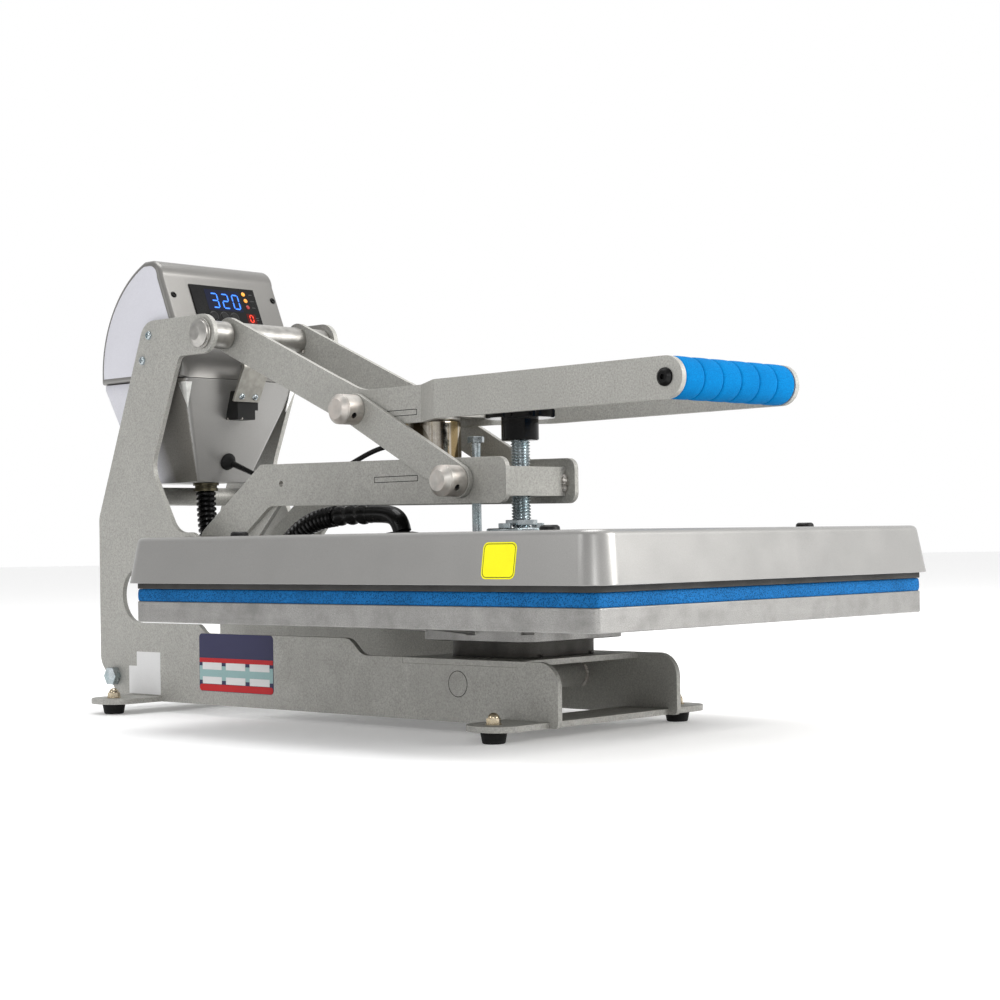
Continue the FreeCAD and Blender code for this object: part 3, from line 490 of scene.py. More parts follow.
def rounded_rectangle(width, height, radius, steps=6):
    """Outline round the origin, with steps edges in each corner."""
    points = []
    for corner_x, corner_y, first in ((1, 1, 0), (-1, 1, 90), (-1, -1, 180), (1, -1, 270)):
        for i in range(steps + 1):
            angle = radians(first + 90 * i / steps)
            points.append((corner_x * (width / 2 - radius) + radius * cos(angle),
                           corner_y * (height / 2 - radius) + radius * sin(angle)))
    return points


def ring_outline(bm, outer, inner, origin, across, up, thickness):
    """Flat band between two outlines with the same number of points."""
    normal = across.cross(up).normalized()
    loops = []
    for outline, lift in ((outer, 0), (outer, thickness), (inner, thickness), (inner, 0)):
        loops.append([origin + across * x + up * y + normal * lift for x, y in outline])
    skin(bm, loops + [loops[0]], caps=False)
    bmesh.ops.remove_doubles(bm, verts=bm.verts, dist=1e-7)


def spline_line(route):
    """Points of the smooth curve that a cord's route makes."""
    curve = bpy.data.curves.new("route", "CURVE")
    curve.dimensions = "3D"
    curve.resolution_u = 40
    spline = curve.splines.new("NURBS")
    spline.points.add(len(route) - 1)
    for point, place in zip(spline.points, route):
        point.co = (*place, 1)
    spline.order_u = 3
    spline.use_endpoint_u = True
    holder = bpy.data.objects.new("route", curve)
    mesh = bpy.data.meshes.new_from_object(holder)
    line = [vertex.co.copy() for vertex in mesh.vertices]
    bpy.data.objects.remove(holder)
    bpy.data.meshes.remove(mesh)
    bpy.data.curves.remove(curve)
    return line


def even_points(line, step):
    """Points about a step apart along a polyline, and its length."""
    lengths = [0]
    for a, b in zip(line, line[1:]):
        lengths.append(lengths[-1] + (b - a).length)
    count = max(2, round(lengths[-1] / step))
    points, j = [], 0
    for i in range(count + 1):
        s = lengths[-1] * i / count
        while j < len(line) - 2 and lengths[j + 1] < s:
            j += 1
        share = (s - lengths[j]) / (lengths[j + 1] - lengths[j])
        points.append(line[j].lerp(line[j + 1], share))
    return points, lengths[-1]


def tube_along(bm, points, radius_at, around=32):
    """Tube round a line, its radius a function of the distance along it and the angle round it."""
    loops = []
    angles = [2 * pi * k / around for k in range(around)]
    tangent = (points[1] - points[0]).normalized()
    side = tangent.orthogonal().normalized()
    travelled = 0
    for i, point in enumerate(points):
        ahead = (points[min(i + 1, len(points) - 1)] - points[max(i - 1, 0)]).normalized()
        side = (tangent.rotation_difference(ahead) @ side).normalized()
        tangent = ahead
        other = tangent.cross(side)
        if i:
            travelled += (point - points[i - 1]).length
        loops.append([point + (side * cos(angle) + other * sin(angle))
                      * radius_at(travelled, angle) for angle in angles])
    skin(bm, loops)


def weld_bead(name, start, end, radius, body, seed):
    """Lumpy bead of weld between two points."""
    chance = random.Random(seed)
    start, end = Vector(start), Vector(end)
    length = (end - start).length
    points, _ = even_points([start, end], radius / 4)
    wobble = [chance.uniform(0.75, 1.15) for _ in range(len(points) + 1)]

    def radius_at(travelled, angle):
        near_end = min(1.0, 0.35 + min(travelled, length - travelled) / radius)
        ripple = 1 + 0.14 * sin(travelled / radius * 5.5 + cos(angle))
        return radius * near_end * ripple * wobble[int(travelled / length * (len(wobble) - 1))]

    bm = bmesh.new()
    tube_along(bm, points, radius_at, 14)
    new_piece(name, bm, body, "bright_nickel")


# ---- carried-over CAD nodes
# Bevel width in millimetres, and the nodes that have it.
BEVEL_GROUPS = {
    0.2: "rear_cross_tube button_set button_down button_up control_board",
    0.25: "foot_nuts",
    0.3: ("base_cross_bar display_panel switch_bracket loom_gland cable_grommet "
          "grip_bar grip_bolts screw_flange"),
    0.35: "deck_plate striker_bracket upper_pins lower_pins",
    0.4: ("foot_strips mains_inlet power_switch top_shaft shaft_spacers arm_pivot_pins "
          "lever_hub striker magnet_bracket cover_caps flange_bolts guide_bolt "
          "loom_grommet"),
    0.45: ("side_plate_right side_plate_left lever_plate_right lever_plate_left "
           "arm_plate_right arm_plate_left arm_doublers"),
    0.5: ("rubber_feet tie_bolt toggle_link_right toggle_link_left pressure_block "
          "electromagnet heater_plate platen_cover jam_nut"),
    0.6: "control_pan",
    0.8: "pressure_knob",
    1.6: "lower_platen",
    2.4: "pedestal",
}
BEVELS = {node: width for width, nodes in BEVEL_GROUPS.items() for node in nodes.split()}


def dress_cad_nodes():
    """Give every CAD node its slot's finish, two of them one of their own, and round edges."""
    slots = {entry["node"]: entry["material_slot"] for entry in frame["record"]["subparts"]}
    own = {"foot_nuts": plated("warm_nickel", (0.50, 0.43, 0.32, 1), 0.22, (0.60, 0.50, 0.34, 1)),
           "switch_bracket": plated("bracket_steel", (0.36, 0.35, 0.32, 1), 0.42)}
    for name, piece in NODES.items():
        piece.data.materials.clear()
        piece.data.materials.append(own.get(name, MATERIALS[slots[name]]))
        if name in BEVELS:
            bevelled(piece, BEVELS[name])


def whiten_pan_sides():
    """Behind the columns, the pan's two side walls are pearl like the shell's end caps; in front of
    that their colour is darkened as painted shade of the side plates.
    """
    mesh = NODES["control_pan"].data
    mesh.materials.append(pan_side_painted_shade())
    for face in mesh.polygons:
        if abs(face.normal.x) > 0.8:
            face.material_index = 1


# ---- control box
def build_shell():
    """Outer skin with rounded rims, and a pearl cap let into each end."""
    lo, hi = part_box("control_shell")
    half, foot, seam = hi.x, lo.y, lo.z
    depth, rise = hi.y - lo.y, hi.z - lo.z
    # End profile in metres: back from the foot of the front, and up from the seam.
    brow = arc((0.0342, 0.097), (0.0400, 0.109), (0.0522, rise), 10)
    dome = arc((0.0605, rise), (0.1070, 0.0775), (depth, 0.0125), 26)
    outline = [(0.0004, 0.0004), (0.0079, 0.0355)] + brow + dome + [(depth, 0.0004)]
    rim = 5.0 * MM

    def ring(inset, x):
        return [Vector((x, foot + y, seam + z)) for y, z in inset_loop(outline, inset)]

    loops = [ring(rim + 2.5 * MM, -half + 1.0 * MM), ring(rim, -half + 0.2 * MM)]
    for i in range(7):
        angle = radians(15 * i)
        loops.append(ring(rim * (1 - sin(angle)), -half + rim * (1 - cos(angle))))
    mirrored = [[Vector((-point.x, point.y, point.z)) for point in loop] for loop in reversed(loops)]
    bm = bmesh.new()
    skin(bm, loops + mirrored)
    new_piece("shell_skin", bm, "frame", "satin_paint", satin_paint("satin_shell", grey(0.17, 0.05)),
              replaces=["control_shell"])
    cap = [ring(rim + 0.25 * MM, half - 1.4 * MM), ring(rim + 0.25 * MM, half - 0.1 * MM),
           ring(rim + 0.6 * MM, half)]
    for side, name in SIDES:
        bm = bmesh.new()
        skin(bm, [[Vector((side * p.x, p.y, p.z)) for p in loop] for loop in cap])
        new_piece("end_cap_" + name, bm, "frame", "satin_paint", PEARL)


# The sloping front of the control box.
FACE_TILT = atan(0.43)
FACE_UP = Vector((0, sin(FACE_TILT), cos(FACE_TILT)))
FACE_OUT = Vector((0, -cos(FACE_TILT), sin(FACE_TILT)))


def panel_point(x_mm, y_mm, out_mm):
    """Point on the display panel, from the middle of its front face."""
    front = middle("display_panel") + FACE_OUT * (0.7 * MM)
    return front + ACROSS * (x_mm * MM) + FACE_UP * (y_mm * MM) + FACE_OUT * (out_mm * MM)


def on_panel(bm, outline, x_mm, y_mm, out_mm, thickness):
    slab(bm, outline, panel_point(x_mm, y_mm, out_mm), ACROSS, FACE_UP, thickness)


def panel_piece(name, bm, material, smooth=False):
    new_piece(name, bm, "frame", "panel_black", material, smooth)


SEGMENTS = {"0": "abcdef", "2": "abged", "3": "abgcd"}
PRINT_THICK = 0.08 * MM
DIGITS_OUT_MM = 0.09            # digits stand this far off the panel, clear of their window


def seven_segment(bm, digit, x_mm, y_mm, height_mm, width_mm, bar_mm):
    """One digit made of pointed bars, centred on (x, y) of the panel."""
    half_w, half_h = width_mm / 2, height_mm / 2
    gap = bar_mm * 0.28
    bars = {
        "a": ((-half_w, half_h), (half_w, half_h)), "g": ((-half_w, 0), (half_w, 0)),
        "d": ((-half_w, -half_h), (half_w, -half_h)), "f": ((-half_w, 0), (-half_w, half_h)),
        "b": ((half_w, 0), (half_w, half_h)), "e": ((-half_w, -half_h), (-half_w, 0)),
        "c": ((half_w, -half_h), (half_w, 0)),
    }
    for letter in SEGMENTS[digit]:
        first, last = (Vector(end) for end in bars[letter])
        along = (last - first).normalized()
        side = Vector((-along.y, along.x)) * bar_mm / 2
        start = first + along * gap
        end = last - along * gap
        tip = along * bar_mm / 2
        outline = [start, start + tip - side, end - tip - side, end, end - tip + side,
                   start + tip + side]
        on_panel(bm, [((x_mm + p.x) * MM, (y_mm + p.y) * MM) for p in outline],
                 0, 0, DIGITS_OUT_MM, PRINT_THICK)


def build_display():
    """Dark windows, lit digits and lamps, dashes for the legends and rings round the buttons."""
    window = flat_print("display_window", (0.001, 0.003, 0.018, 1), 0.3)
    red_window = flat_print("timer_window", (0.06, 0.001, 0.001, 1), 0.2)
    timer_x, timer_y = 26.8, -13.4
    for name, x, y, width, height, material in (
            ("blue_window", -1.8, 4.2, 42, 22.5, window),
            ("red_window", timer_x, timer_y, 11, 10.6, red_window)):
        bm = bmesh.new()
        on_panel(bm, rounded_rectangle(width * MM, height * MM, 0.8 * MM), x, y, 0, PRINT_THICK)
        panel_piece(name, bm, material)
    bm = bmesh.new()
    for digit, x in zip("320", (-12.7, 0.1, 12.8)):
        seven_segment(bm, digit, x, 3.6, 15.0, 7.2, 1.35)
    panel_piece("temperature_digits", bm, lamp("digit_blue", (0.03, 0.20, 1.0, 1), 1.6))
    bm = bmesh.new()
    seven_segment(bm, "0", timer_x, timer_y, 7.4, 3.8, 1.1)
    panel_piece("timer_digit", bm, lamp("digit_red", (1.0, 0.035, 0.005, 1), 1.5))
    lamps = (("heat_lamp", 24.6, 13.2, lamp("lamp_amber", (1.0, 0.34, 0.03, 1), 1.4)),
             ("ready_lamp", 25.4, 6.2, lamp("lamp_amber_low", (1.0, 0.30, 0.03, 1), 1.2)),
             ("mode_lamp", 26.0, -0.9, lamp("lamp_red", (0.5, 0.005, 0.005, 1), 0.25)))
    dome = [(0, 2.1 * MM), (0.3 * MM, 2.1 * MM), (0.8 * MM, 1.5 * MM), (1.0 * MM, 0.7 * MM)]
    for name, x, y, material in lamps:
        bm = bmesh.new()
        lathe(bm, dome, panel_point(x, y, 0.02), FACE_OUT, 24)
        panel_piece(name, bm, material, smooth=True)
    dash = flat_print("panel_marks", grey(0.05), 0.5)
    bm = bmesh.new()
    for y in (13.2, 6.2, -0.9, -12.2, -14.4):
        on_panel(bm, rounded_rectangle(4.2 * MM, 0.8 * MM, 0.3 * MM, 3), 33.5, y, 0, 0.05 * MM)
    panel_piece("panel_marks", bm, dash)
    bm = bmesh.new()
    for x in (-19, -6.5, 6):
        ring_outline(bm, circle(5.0 * MM, 36), circle(4.6 * MM, 36), panel_point(x, -13.2, 0),
                     ACROSS, FACE_UP, 0.1 * MM)
    panel_piece("button_rings", bm, dash)


def cross_head(bm, centre, axis, radius, height):
    """Domed screw head with a cross recess, its flat side at centre."""
    turn = turned_to(axis)
    rings, around, recess = 14, 40, 0.55 * height
    loops = [[Vector(centre) + turn @ Vector((x, y, 0)) for x, y in circle(radius, around)]]
    for i in range(rings, 0, -1):
        ring = radius * i / rings
        dome = height * sqrt(max(0.0, 1 - (ring / (radius * 1.02)) ** 2)) ** 0.8
        loop = []
        for x, y in circle(ring, around):
            near, far = sorted((abs(x), abs(y)))
            in_cross = near < radius * 0.16 and far < radius * 0.62
            z = dome - (recess if in_cross else 0)
            loop.append(Vector(centre) + turn @ Vector((x, y, z)))
        loops.append(loop)
    skin(bm, loops)


def solid_boxes(node):
    """Boxes of a node's separate solids, read from its vertices, in a fixed order."""
    bm = bmesh.new()
    bm.from_mesh(NODES[node].data)
    bmesh.ops.remove_doubles(bm, verts=bm.verts, dist=1e-6)
    bm.verts.ensure_lookup_table()
    left = set(range(len(bm.verts)))
    boxes = []
    while left:
        stack = [min(left)]
        left.discard(stack[0])
        found = []
        while stack:
            vertex = bm.verts[stack.pop()]
            found.append(vertex.co.copy())
            for edge in vertex.link_edges:
                other = edge.other_vert(vertex).index
                if other in left:
                    left.discard(other)
                    stack.append(other)
        lo = Vector([min(point[i] for point in found) for i in range(3)])
        hi = Vector([max(point[i] for point in found) for i in range(3)])
        boxes.append((lo, hi))
    bm.free()
    boxes.sort(key=lambda pair: tuple(round(x, 4) for x in pair[0]))
    return boxes


def washer_and_head(bm, seat, axis, washer, washer_thick, head, height):
    """Cross-head screw on a flat washer, standing on seat."""
    lathe(bm, [(0, washer), (washer_thick, washer)], seat, axis, 32)
    cross_head(bm, Vector(seat) + Vector(axis) * washer_thick, axis, head, height)


def build_screws():
    """Zinc screws: four through the side plates and two in the switch bracket."""
    bm = bmesh.new()
    face = high("side_plate_right").x
    lean = radians(27.8)
    bracket_out = Vector((0, -cos(lean), -sin(lean)))
    for lo, hi in solid_boxes("zinc_screws"):
        centre = (lo + hi) / 2
        if abs(centre.x) > 50 * MM:
            side = copysign(1, centre.x)
            washer_and_head(bm, (side * face, centre.y, centre.z), (side, 0, 0),
                            4.2 * MM, 0.5 * MM, 3.9 * MM, 2.1 * MM)
        else:
            cross_head(bm, centre - bracket_out * MM, bracket_out, 3.2 * MM, 2.2 * MM)
    new_piece("cross_head_screws", bm, "frame", "zinc", replaces=["zinc_screws"])
    bm = bmesh.new()
    for x, y in ((-60 * MM, 6.5 * MM), (62 * MM, 10 * MM)):
        spot = middle("display_panel") + ACROSS * x + FACE_UP * y - FACE_OUT * (0.75 * MM)
        washer_and_head(bm, spot, FACE_OUT, 3.1 * MM, 0.4 * MM, 2.5 * MM, 1.3 * MM)
    new_piece("shell_screws", bm, "frame", "black_oxide")


# ---- pressure screw
def build_threaded_screw():
    """Right-hand thread of 2.5 mm pitch, with a chamfered lower end."""
    lo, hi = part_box("pressure_screw")
    outer = (hi.x - lo.x) / 2
    centre_y = (lo.y + hi.y) / 2
    pitch, depth, around, per_turn = 2.5 * MM, 1.35 * MM, 48, 12
    crest, flank_share, chamfer = 0.12, 0.76, 1.6 * MM
    count = round((hi.z - lo.z) / pitch * per_turn)
    loops = []
    for i in range(count + 1):
        z = lo.z + (hi.z - lo.z) * i / count
        limit = outer - chamfer + (z - lo.z)
        loop = []
        for k in range(around):
            angle = 2 * pi * k / around
            phase = (z / pitch - k / around) % 1.0
            flank = min(1.0, max(0.0, (abs(phase - 0.5) * 2 - crest) / flank_share))
            radius = min(outer - depth * (1 - flank) * 0.98, limit, outer)
            loop.append((radius * cos(angle), radius * sin(angle) + centre_y, z))
        loops.append(loop)
    bm = bmesh.new()
    skin(bm, loops)
    new_piece("threaded_screw", bm, "pressure_knob", "zinc", replaces=["pressure_screw"])


# ---- cords
# Routes in millimetres, with Y measured from the pressure screw; CORD_SHIFT takes it to the frame's Y.
CORD_SHIFT = -111.4 * MM
LOOM_ROUTE = [(0, 413, 206), (0, 413, 164), (-3, 389, 125), (-8, 345, 113), (-6, 303, 141),
              (-1, 266, 173), (4, 224, 180), (3, 184, 179.5)]
SLEEVE_ROUTE = [(3, 184, 179.5), (2.5, 164, 179.25), (1.2, 151.5, 176.8), (0.2, 144, 170.5),
                (0, 141.5, 163.2)]
CABLE_ROUTE = [(0, 370.94, 230.78), (1, 350, 223), (3, 327, 214.5), (6, 299, 210.5), (7, 268, 211),
               (6, 237, 216.5), (3, 207, 226), (0, 178, 235), (-1, 152, 239.6), (-1, 127.75, 240)]


def metres(route):
    return [(x * MM, y * MM + CORD_SHIFT, z * MM) for x, y, z in route]


def build_tube(name, points, radius_at, node):
    """Tube along a curve's points, baked in place on no body, in place of a CAD node."""
    bm = bmesh.new()
    tube_along(bm, points, radius_at)
    piece = new_piece(name, bm, None, "loom_black")
    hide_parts(node)
    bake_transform(piece)
    return piece


def build_cords():
    """Corrugated loom, its smooth sleeve and the magnet's cable.

    The loom is two lengths, split past its sag; the sleeve rides on the upper platen, the loom and the
    cable on no body."""
    rib = 5.0 * MM
    step = rib / 10
    ribs_end = 262 * MM             # beyond this the sleeve is soft and folded
    past_the_sag = 120 * MM         # the split is looked for from here on
    corners = metres(LOOM_ROUTE)
    path, _ = even_points(spline_line(corners), step)
    split = next(i for i, point in enumerate(path)
                 if point[1] < corners[4][1] and i * step > past_the_sag)
    rear_length, front_length = split * step, (len(path) - 1 - split) * step

    def loom_radius(travelled, angle):
        phase = (travelled / rib) % 1.0
        crest = 0.5 - 0.5 * cos(2 * pi * phase)
        if travelled < ribs_end:
            return 7.7 * MM + 1.8 * MM * min(1.0, 1.7 * crest) ** 0.7
        fold = 0.5 + 0.5 * sin((travelled - ribs_end) / (15 * MM) * 2 * pi - 1.2)
        return 7.9 * MM + 1.5 * MM * fold * (0.8 + 0.2 * cos(angle - 0.8))

    def front_radius(travelled, angle):
        return loom_radius(travelled + rear_length, angle)

    def sleeve_radius(travelled, angle):
        return 8.0 * MM - 0.25 * MM * sin(travelled / (8 * MM)) * cos(angle) ** 2

    def cable_radius(travelled, angle):
        return 2.25 * MM + 0.7 * MM * max(0.0, 1 - travelled / (32 * MM))

    rear = build_tube("loom_rear", path[:split + 1], loom_radius, "heater_loom")
    front = build_tube("loom_front", path[split:], front_radius, "heater_loom")
    bm = bmesh.new()
    sleeve_path, _ = even_points(spline_line(metres(SLEEVE_ROUTE)), 0.8 * MM)
    tube_along(bm, sleeve_path, sleeve_radius)
    elbow = new_piece("loom_elbow", bm, "upper_platen", "loom_black", replaces=["loom_sleeve"])
    corners = metres(CABLE_ROUTE)
    path, length = even_points(spline_line(corners), 1.2 * MM)
    lead = build_tube("magnet_lead", path, cable_radius, "magnet_cable")


# ---- soft pieces
def build_pad():
    """Silicone pad: crisp cut edges that bulge very slightly where the heater presses it."""
    lo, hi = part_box("platen_pad")
    centre = (lo + hi) / 2
    width, depth, thick = hi.x - lo.x, hi.y - lo.y, hi.z - lo.z
    levels, spare, waver = 10, 0.7 * MM, 2e-4
    loops = []
    for i in range(levels + 1):
        share = i / levels
        belly = 0.35 * MM * sin(pi * share)
        crown = 0.5 * MM * (1 - min(1.0, min(share, 1 - share) * levels))
        grown = 2 * (belly - crown)
        outline = rounded_rectangle(width - spare + grown, depth - spare + grown, 3.6 * MM, 5)
        detailed = []
        for a, b in zip(outline, outline[1:] + outline[:1]):
            pieces = max(1, round(hypot(b[0] - a[0], b[1] - a[1]) / (4 * MM)))
            for j in range(pieces):
                detailed.append((a[0] + (b[0] - a[0]) * j / pieces,
                                 a[1] + (b[1] - a[1]) * j / pieces))
        chance = random.Random(11 + i)
        loops.append([(centre.x + x * (1 + chance.uniform(-waver, waver)),
                       centre.y + y * (1 + chance.uniform(-waver, waver)),
                       lo.z + thick * share) for x, y in detailed])
    bm = bmesh.new()
    skin(bm, loops)
    pad = new_piece("silicone_pad", bm, "frame", "silicone_blue", replaces=["platen_pad"])


def build_grip():
    """Foam grip of six segments, each a little fuller in the middle, with cut ends."""
    lo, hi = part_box("grip")
    centre = (lo + hi) / 2
    radius = (hi.z - lo.z) / 2
    length = hi.x - lo.x
    segments = 6
    pitch = length / segments
    # Distance along a segment as a share of it, and how far the surface drops there in mm.
    swell = ((0.010, 1.5), (0.022, 0.95), (0.05, 0.5), (0.10, 0.25), (0.2, 0.1), (0.35, 0.02),
             (0.5, 0.0), (0.65, 0.02), (0.8, 0.1), (0.90, 0.25), (0.95, 0.5), (0.978, 0.95),
             (0.990, 1.5))
    profile = [(0, radius * 0.62), (0.2 * MM, radius * 0.9)]
    for i in range(segments):
        profile += [((i + share) * pitch, radius - drop * MM) for share, drop in swell]
    profile += [(length - 0.2 * MM, radius * 0.9), (length, radius * 0.62)]
    bm = bmesh.new()
    lathe(bm, profile, (lo.x, centre.y, centre.z), (1, 0, 0), 72)
    grip = new_piece("foam_grip", bm, "lever", "grip_foam", replaces=["grip"])


# ---- labels
LABEL_THICK = 0.12 * MM


def plate_label(name, origin, across, up, size_mm, radius_mm, material, body="frame", lift_mm=0,
                slot="powder_coat"):
    """Sticker with rounded corners, size_mm across and up, lying on the plane through origin."""
    bm = bmesh.new()
    normal = across.cross(up).normalized()
    slab(bm, rounded_rectangle(size_mm[0] * MM, size_mm[1] * MM, radius_mm * MM),
         origin + normal * (lift_mm * MM), across, up, LABEL_THICK)
    new_piece(name, bm, body, slot, material, smooth=False)


def build_hot_label(across):
    """Yellow label with a thin border, on the sloping left wall of the platen's cover."""
    draft = atan2(6.0, 37.9)
    along_mm, height_mm, clear = 93.6, 17.4, 0.05 * MM
    wall_up = Vector((sin(draft), 0, cos(draft)))
    wall_out = Vector((-cos(draft), 0, sin(draft)))
    spot = low("platen_cover") + Vector((0, along_mm * MM, 0)) + wall_up * (height_mm * MM)
    face = spot + wall_out * clear
    yellow = flat_print("label_yellow", (0.85, 0.80, 0.01, 1))
    black = flat_print("label_black", (0.012, 0.012, 0.012, 1))
    plate_label("hot_label", face, across, wall_up, (32, 26), 4.5, yellow, "upper_platen",
                slot="satin_paint")
    bm = bmesh.new()
    ring_outline(bm, rounded_rectangle(30 * MM, 24 * MM, 3.8 * MM),
                 rounded_rectangle(29 * MM, 23 * MM, 3.4 * MM),
                 face + across.cross(wall_up).normalized() * LABEL_THICK, across, wall_up, 0.04 * MM)
    new_piece("hot_label_border", bm, "upper_platen", "satin_paint", black, smooth=False)


def build_labels():
    """Plain coloured labels with no lettering, where the press carries its stickers."""
    across = Vector((0, -1, 0))
    build_hot_label(across)
    white = flat_print("label_white", (0.72, 0.72, 0.72, 1))
    navy = flat_print("label_navy", (0.035, 0.035, 0.09, 1))
    red = flat_print("label_red", (0.50, 0.015, 0.02, 1))
    teal = flat_print("label_teal", (0.30, 0.46, 0.46, 1))
    plate = low("side_plate_left")
    centre = Vector((plate.x, plate.y + 383.5 * MM, 48 * MM))
    plate_label("rating_label", centre, across, UP, (103, 52), 4, navy)
    bands = (("rating_stripe", 2.0, 4, 0.6, red), ("rating_teal", -9.5, 13, 0.6, teal),
             ("rating_foot", -22.6, 6.0, 2.9, red))
    for index, (name, z, height, radius, material) in enumerate(bands):
        plate_label(name, centre + UP * (z * MM), across, UP, (102, height), radius, material,
                    lift_mm=0.12 + 0.03 * index)
    for column, y in enumerate((-33, 0, 33)):
        for row, z in enumerate((-3.2, -16.0)):
            origin = centre + across * (y * MM) + UP * (z * MM)
            plate_label(f"rating_box_{column}_{row}", origin, across, UP, (27, 6.4), 0.4, white,
                        lift_mm=0.32)
    small = Vector((plate.x, plate.y + 517 * MM, 0))
    plate_label("small_label_top", small + across * (6 * MM) + UP * (47 * MM), across, UP,
                (36, 16), 0.5, white)
    plate_label("small_label_base", small + UP * (28.5 * MM), across, UP, (48, 26), 0.5, white,
                lift_mm=0.02)


# ---- small details
def outline_piece(name, outer, inner, face_x, y, z, side, body):
    """Thin dark line on the outer face of a plate, where a tab or bar end comes through it."""
    bm = bmesh.new()
    ring_outline(bm, outer, inner, Vector((face_x + side * 0.03 * MM, y, z)), Vector((0, side, 0)), UP,
                 0.06 * MM)
    new_piece(name, bm, body, "powder_coat", MATERIALS["black_oxide"], smooth=False)


def build_joint_lines():
    """Lines round the tabs and the cross bar's ends on the outer faces of the plates."""
    tab_low, tab_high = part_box("striker_bracket")
    tab_y = (tab_low.y + tab_high.y) / 2
    width, height, line = tab_high.y - tab_low.y, 5.2 * MM, 1.2 * MM
    bar = middle("base_cross_bar")
    radius = (high("base_cross_bar").z - low("base_cross_bar").z) / 2
    for side, name in SIDES:
        for bracket, body in (("magnet_bracket", "platen_arm"), ("striker_bracket", "lever")):
            outline_piece(f"{bracket}_line_{name}", rounded_rectangle(width, height, 0.8 * MM),
                          rounded_rectangle(width - line, height - line, 0.3 * MM),
                          outer_x(bracket, side), tab_y, middle(bracket).z, side, body)
        outline_piece("cross_bar_line_" + name, circle(radius), circle(radius - 0.5 * MM),
                      outer_x("side_plate_" + name, side), bar.y, bar.z, side, "frame")


def build_set_screws():
    """Black socket set screws that hold the pins' collars."""
    axis = Vector((0, -0.94, -0.34)).normalized()
    collar_x, sunk = 60.8 * MM, 2.4 * MM
    profile = [(0, 2.7 * MM), (1.7 * MM, 2.7 * MM), (2.0 * MM, 2.3 * MM), (2.0 * MM, 1.3 * MM),
               (0.8 * MM, 1.2 * MM)]
    for node, body in (("lower_pins", "toggle"), ("upper_pins", "lever")):
        radius = (high(node).z - low(node).z) / 2
        centre = middle(node)
        for side, name in SIDES:
            bm = bmesh.new()
            lathe(bm, profile, Vector((side * collar_x, centre.y, centre.z)) + axis * (radius - sunk),
                  axis, 24)
            new_piece(f"{node}_set_screw_{name}", bm, body, "black_oxide")


def build_pan_folds():
    """Folded corners of the sheet where the pan meets the shell, coloured near-white as a painted
    highlight of the shell's rounded rim.
    """
    front, seam = low("control_pan").y, high("control_pan").z
    # Painted highlight: the folds are real, but their near-white colour stands in for the glint on the
    # rim.
    fold_highlight = plated("folded_corner_highlight", (0.80, 0.80, 0.78, 1), 0.4)
    corners = ((67.3, 0.3, -3.6), (59.8, 7.8, -27), (67.2, 13, -3.6), (60.4, 0.2, -3.6))
    for side, name in SIDES:
        edge_top, edge_low, rear, fore = (
            Vector((side * x * MM, front + y * MM, seam + z * MM)) for x, y, z in corners)
        outward = Vector((-side * 0.5, 0.7, 0)).normalized() * (0.5 * MM)
        bm = bmesh.new()
        for third in (rear, fore):
            outer = [edge_top, third, edge_low]
            skin(bm, [outer, [point + outward for point in outer]])
        new_piece("pan_fold_" + name, bm, "frame", "satin_paint", fold_highlight, smooth=False)


def build_limit_switch():
    """Switch body with a step in its lower corner, and its two bright terminals."""
    lo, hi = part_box("limit_switch")
    width, height, thick = hi.x - lo.x, hi.z - lo.z, hi.y - lo.y
    step, step_top = 3.6 * MM, 9 * MM
    outline = [(0, 0), (width - step, 0), (width - step, step_top), (width, step_top), (width, height),
               (0, height)]
    bm = bmesh.new()
    slab(bm, outline, Vector((lo.x, hi.y, lo.z)), ACROSS, UP, thick)
    bevelled(new_piece("limit_switch_body", bm, "frame", "black_plastic", smooth=False,
                       replaces=["limit_switch"]), 0.5)
    bm = bmesh.new()
    for x, y in ((1.2 * MM, -2.2 * MM), (5.5 * MM, 1.6 * MM - thick)):
        lathe(bm, [(0, 1.5 * MM), (1.6 * MM, 1.5 * MM), (2.2 * MM, 1.0 * MM)],
              Vector((lo.x + x, hi.y + y, lo.z + 1.9 * MM)), Vector((0, -0.3, -1)).normalized(), 16)
    new_piece("switch_terminals", bm, "frame", "zinc", MATERIALS["bright_nickel"])


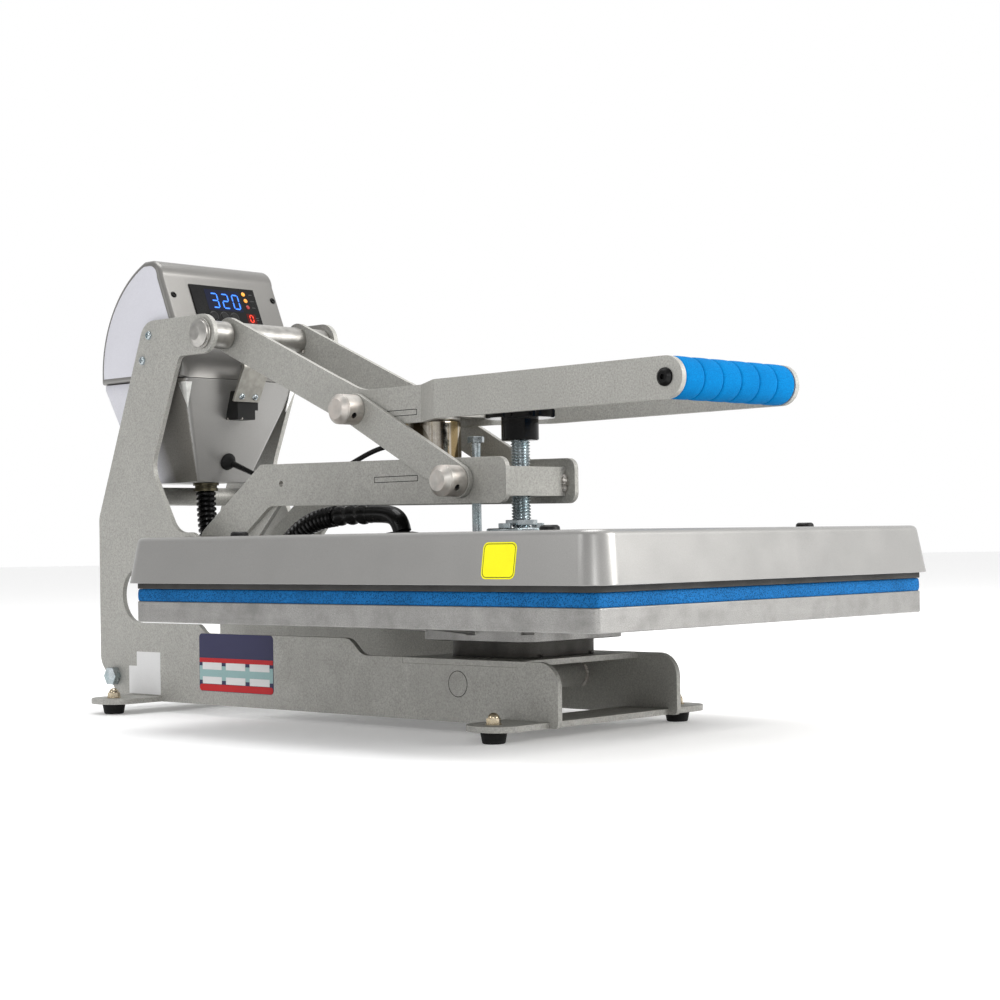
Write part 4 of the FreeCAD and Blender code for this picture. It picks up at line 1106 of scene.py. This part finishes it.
# ---- welds
def build_welds():
    """Beads at the pressure block, the lever's hub and the ends of the cross bar."""
    lo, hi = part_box("pressure_block")
    for name, x, y, rise, drop, radius, seed in (("right", hi.x - 1.2 * MM, 0.2, 3, 6, 3.6, 3),
                                                 ("left", -hi.x + 0.6 * MM, -0.4, 2, 2, 1.4, 4)):
        weld_bead("weld_block_" + name, (x, lo.y + y * MM, lo.z + rise * MM),
                  (x, lo.y + y * MM, hi.z - drop * MM), radius * MM, "platen_arm", seed)
    lo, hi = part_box("lever_hub")
    seat = Vector((hi.x - 1.2 * MM, lo.y + 2.2 * MM, (lo.z + hi.z) / 2 - 9 * MM))
    weld_bead("weld_hub_right", seat, seat + Vector((0, 1.8 * MM, -3.4 * MM)), 1.7 * MM, "lever", 8)
    lo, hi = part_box("base_cross_bar")
    centre = (lo + hi) / 2
    inside = high("side_plate_right").x - PLATE_THICK - 0.5 * MM
    radius = (hi.z - lo.z) / 2 + 0.5 * MM
    step = 0.5 * MM
    angles = [radians(120 + 12 * i) for i in range(11)]
    for side, name in SIDES:
        points = [Vector((side * inside, centre.y + radius * cos(angle),
                          centre.z + radius * sin(angle))) for angle in angles]
        chance = random.Random(20 + side)
        line, _ = even_points(points, step)
        lumps = [chance.uniform(0.8, 1.15) for _ in range(len(line) + 1)]

        def radius_at(travelled, angle):
            lump = lumps[min(len(lumps) - 1, int(travelled / step))]
            return 1.5 * MM * lump * (1 + 0.12 * sin(travelled / MM * 2.2))

        bm = bmesh.new()
        tube_along(bm, line, radius_at, 12)
        new_piece("weld_bar_" + name, bm, "frame", "bright_nickel")


# ---- stage
def build_floor():
    """Round paper floor under the press."""
    bm = bmesh.new()
    bmesh.ops.create_circle(bm, cap_ends=True, radius=14, segments=96)
    mesh = bpy.data.meshes.new("floor")
    bm.to_mesh(mesh)
    bm.free()
    floor = bpy.data.objects.new("floor", mesh)
    floor.location.z = cad_low.z
    mesh.materials.append(backdrop_paper("floor_paper"))
    bpy.context.scene.collection.objects.link(floor)


def build_world():
    """White surroundings: they light the press less from the left, and show as plain white."""
    world = bpy.data.worlds.new("studio")
    world.use_nodes = True
    tree = world.node_tree
    direction = add_node(tree, "ShaderNodeTexCoord")["Generated"]
    across = add_node(tree, "ShaderNodeSeparateXYZ", {0: direction})["X"]
    light = map_range(tree, across, -0.75, 0.35, 0.50, 0.95)
    seen = add_node(tree, "ShaderNodeLightPath")["Is Camera Ray"]
    strength = add_node(tree, "ShaderNodeMix", {"Factor": seen, "A": light, "B": 1.0})["Result"]
    background = tree.nodes["Background"]
    feed(tree, background, "Strength", strength)
    feed(tree, background, "Color", (1, 1, 1, 1))
    bpy.context.scene.world = world


def build_lights():
    """Soft discs facing the press: position, diameter, power in watts and colour."""
    target = Vector((0, 0, 0.2))
    for name, place, size, power, colour in (
            ("key", (1.2, -2.6, 1.5), 1.4, 76, (1.0, 0.99, 0.97)),
            ("top", (0.2, 0.3, 2.6), 1.8, 38, (1, 1, 1)),
            ("front", (-1.9, -1.6, 0.9), 0.4, 8, (1, 1, 1)),
            ("left", (-2.0, 0.7, 1.1), 0.8, 5, (1, 1, 1))):
        light = bpy.data.lights.new(name, "AREA")
        light.shape = "DISK"
        light.size = size
        light.energy = power
        light.color = colour
        holder = bpy.data.objects.new(name, light)
        holder.location = place
        holder.rotation_euler = (target - Vector(place)).to_track_quat("-Z", "Y").to_euler()
        bpy.context.scene.collection.objects.link(holder)
    bpy.context.scene.view_settings.view_transform = "Standard"


def build_camera():
    """Low three-quarter view from the operator's left, level with the lower platen.

    The angles and the place come from the fit of the photograph's measured points."""
    yaw, pitch, roll = (radians(angle) for angle in (46.855, 1.100, -0.912))
    place = Vector((-1.23058, -1.24077, 0.15552))
    forward = Vector((sin(yaw) * cos(pitch), cos(yaw) * cos(pitch), sin(pitch)))
    right = Vector((cos(yaw), -sin(yaw), 0))
    up = right.cross(forward)
    rolled_right = right * cos(roll) + up * sin(roll)
    rolled_up = up * cos(roll) - right * sin(roll)
    data = bpy.data.cameras.new("camera")
    data.lens = 72.78
    data.sensor_width = 36
    data.clip_end = 60
    camera = bpy.data.objects.new("camera", data)
    turn = Matrix((rolled_right, rolled_up, -forward)).transposed().to_4x4()
    camera.matrix_world = Matrix.Translation(place) @ turn
    bpy.context.scene.collection.objects.link(camera)
    bpy.context.scene.camera = camera


dress_cad_nodes()
whiten_pan_sides()
build_shell()
build_display()
build_screws()
build_threaded_screw()
build_cords()
build_pad()
build_grip()
build_labels()
build_welds()
build_joint_lines()
build_set_screws()
build_pan_folds()
build_limit_switch()
build_floor()
build_world()
build_lights()
build_camera()
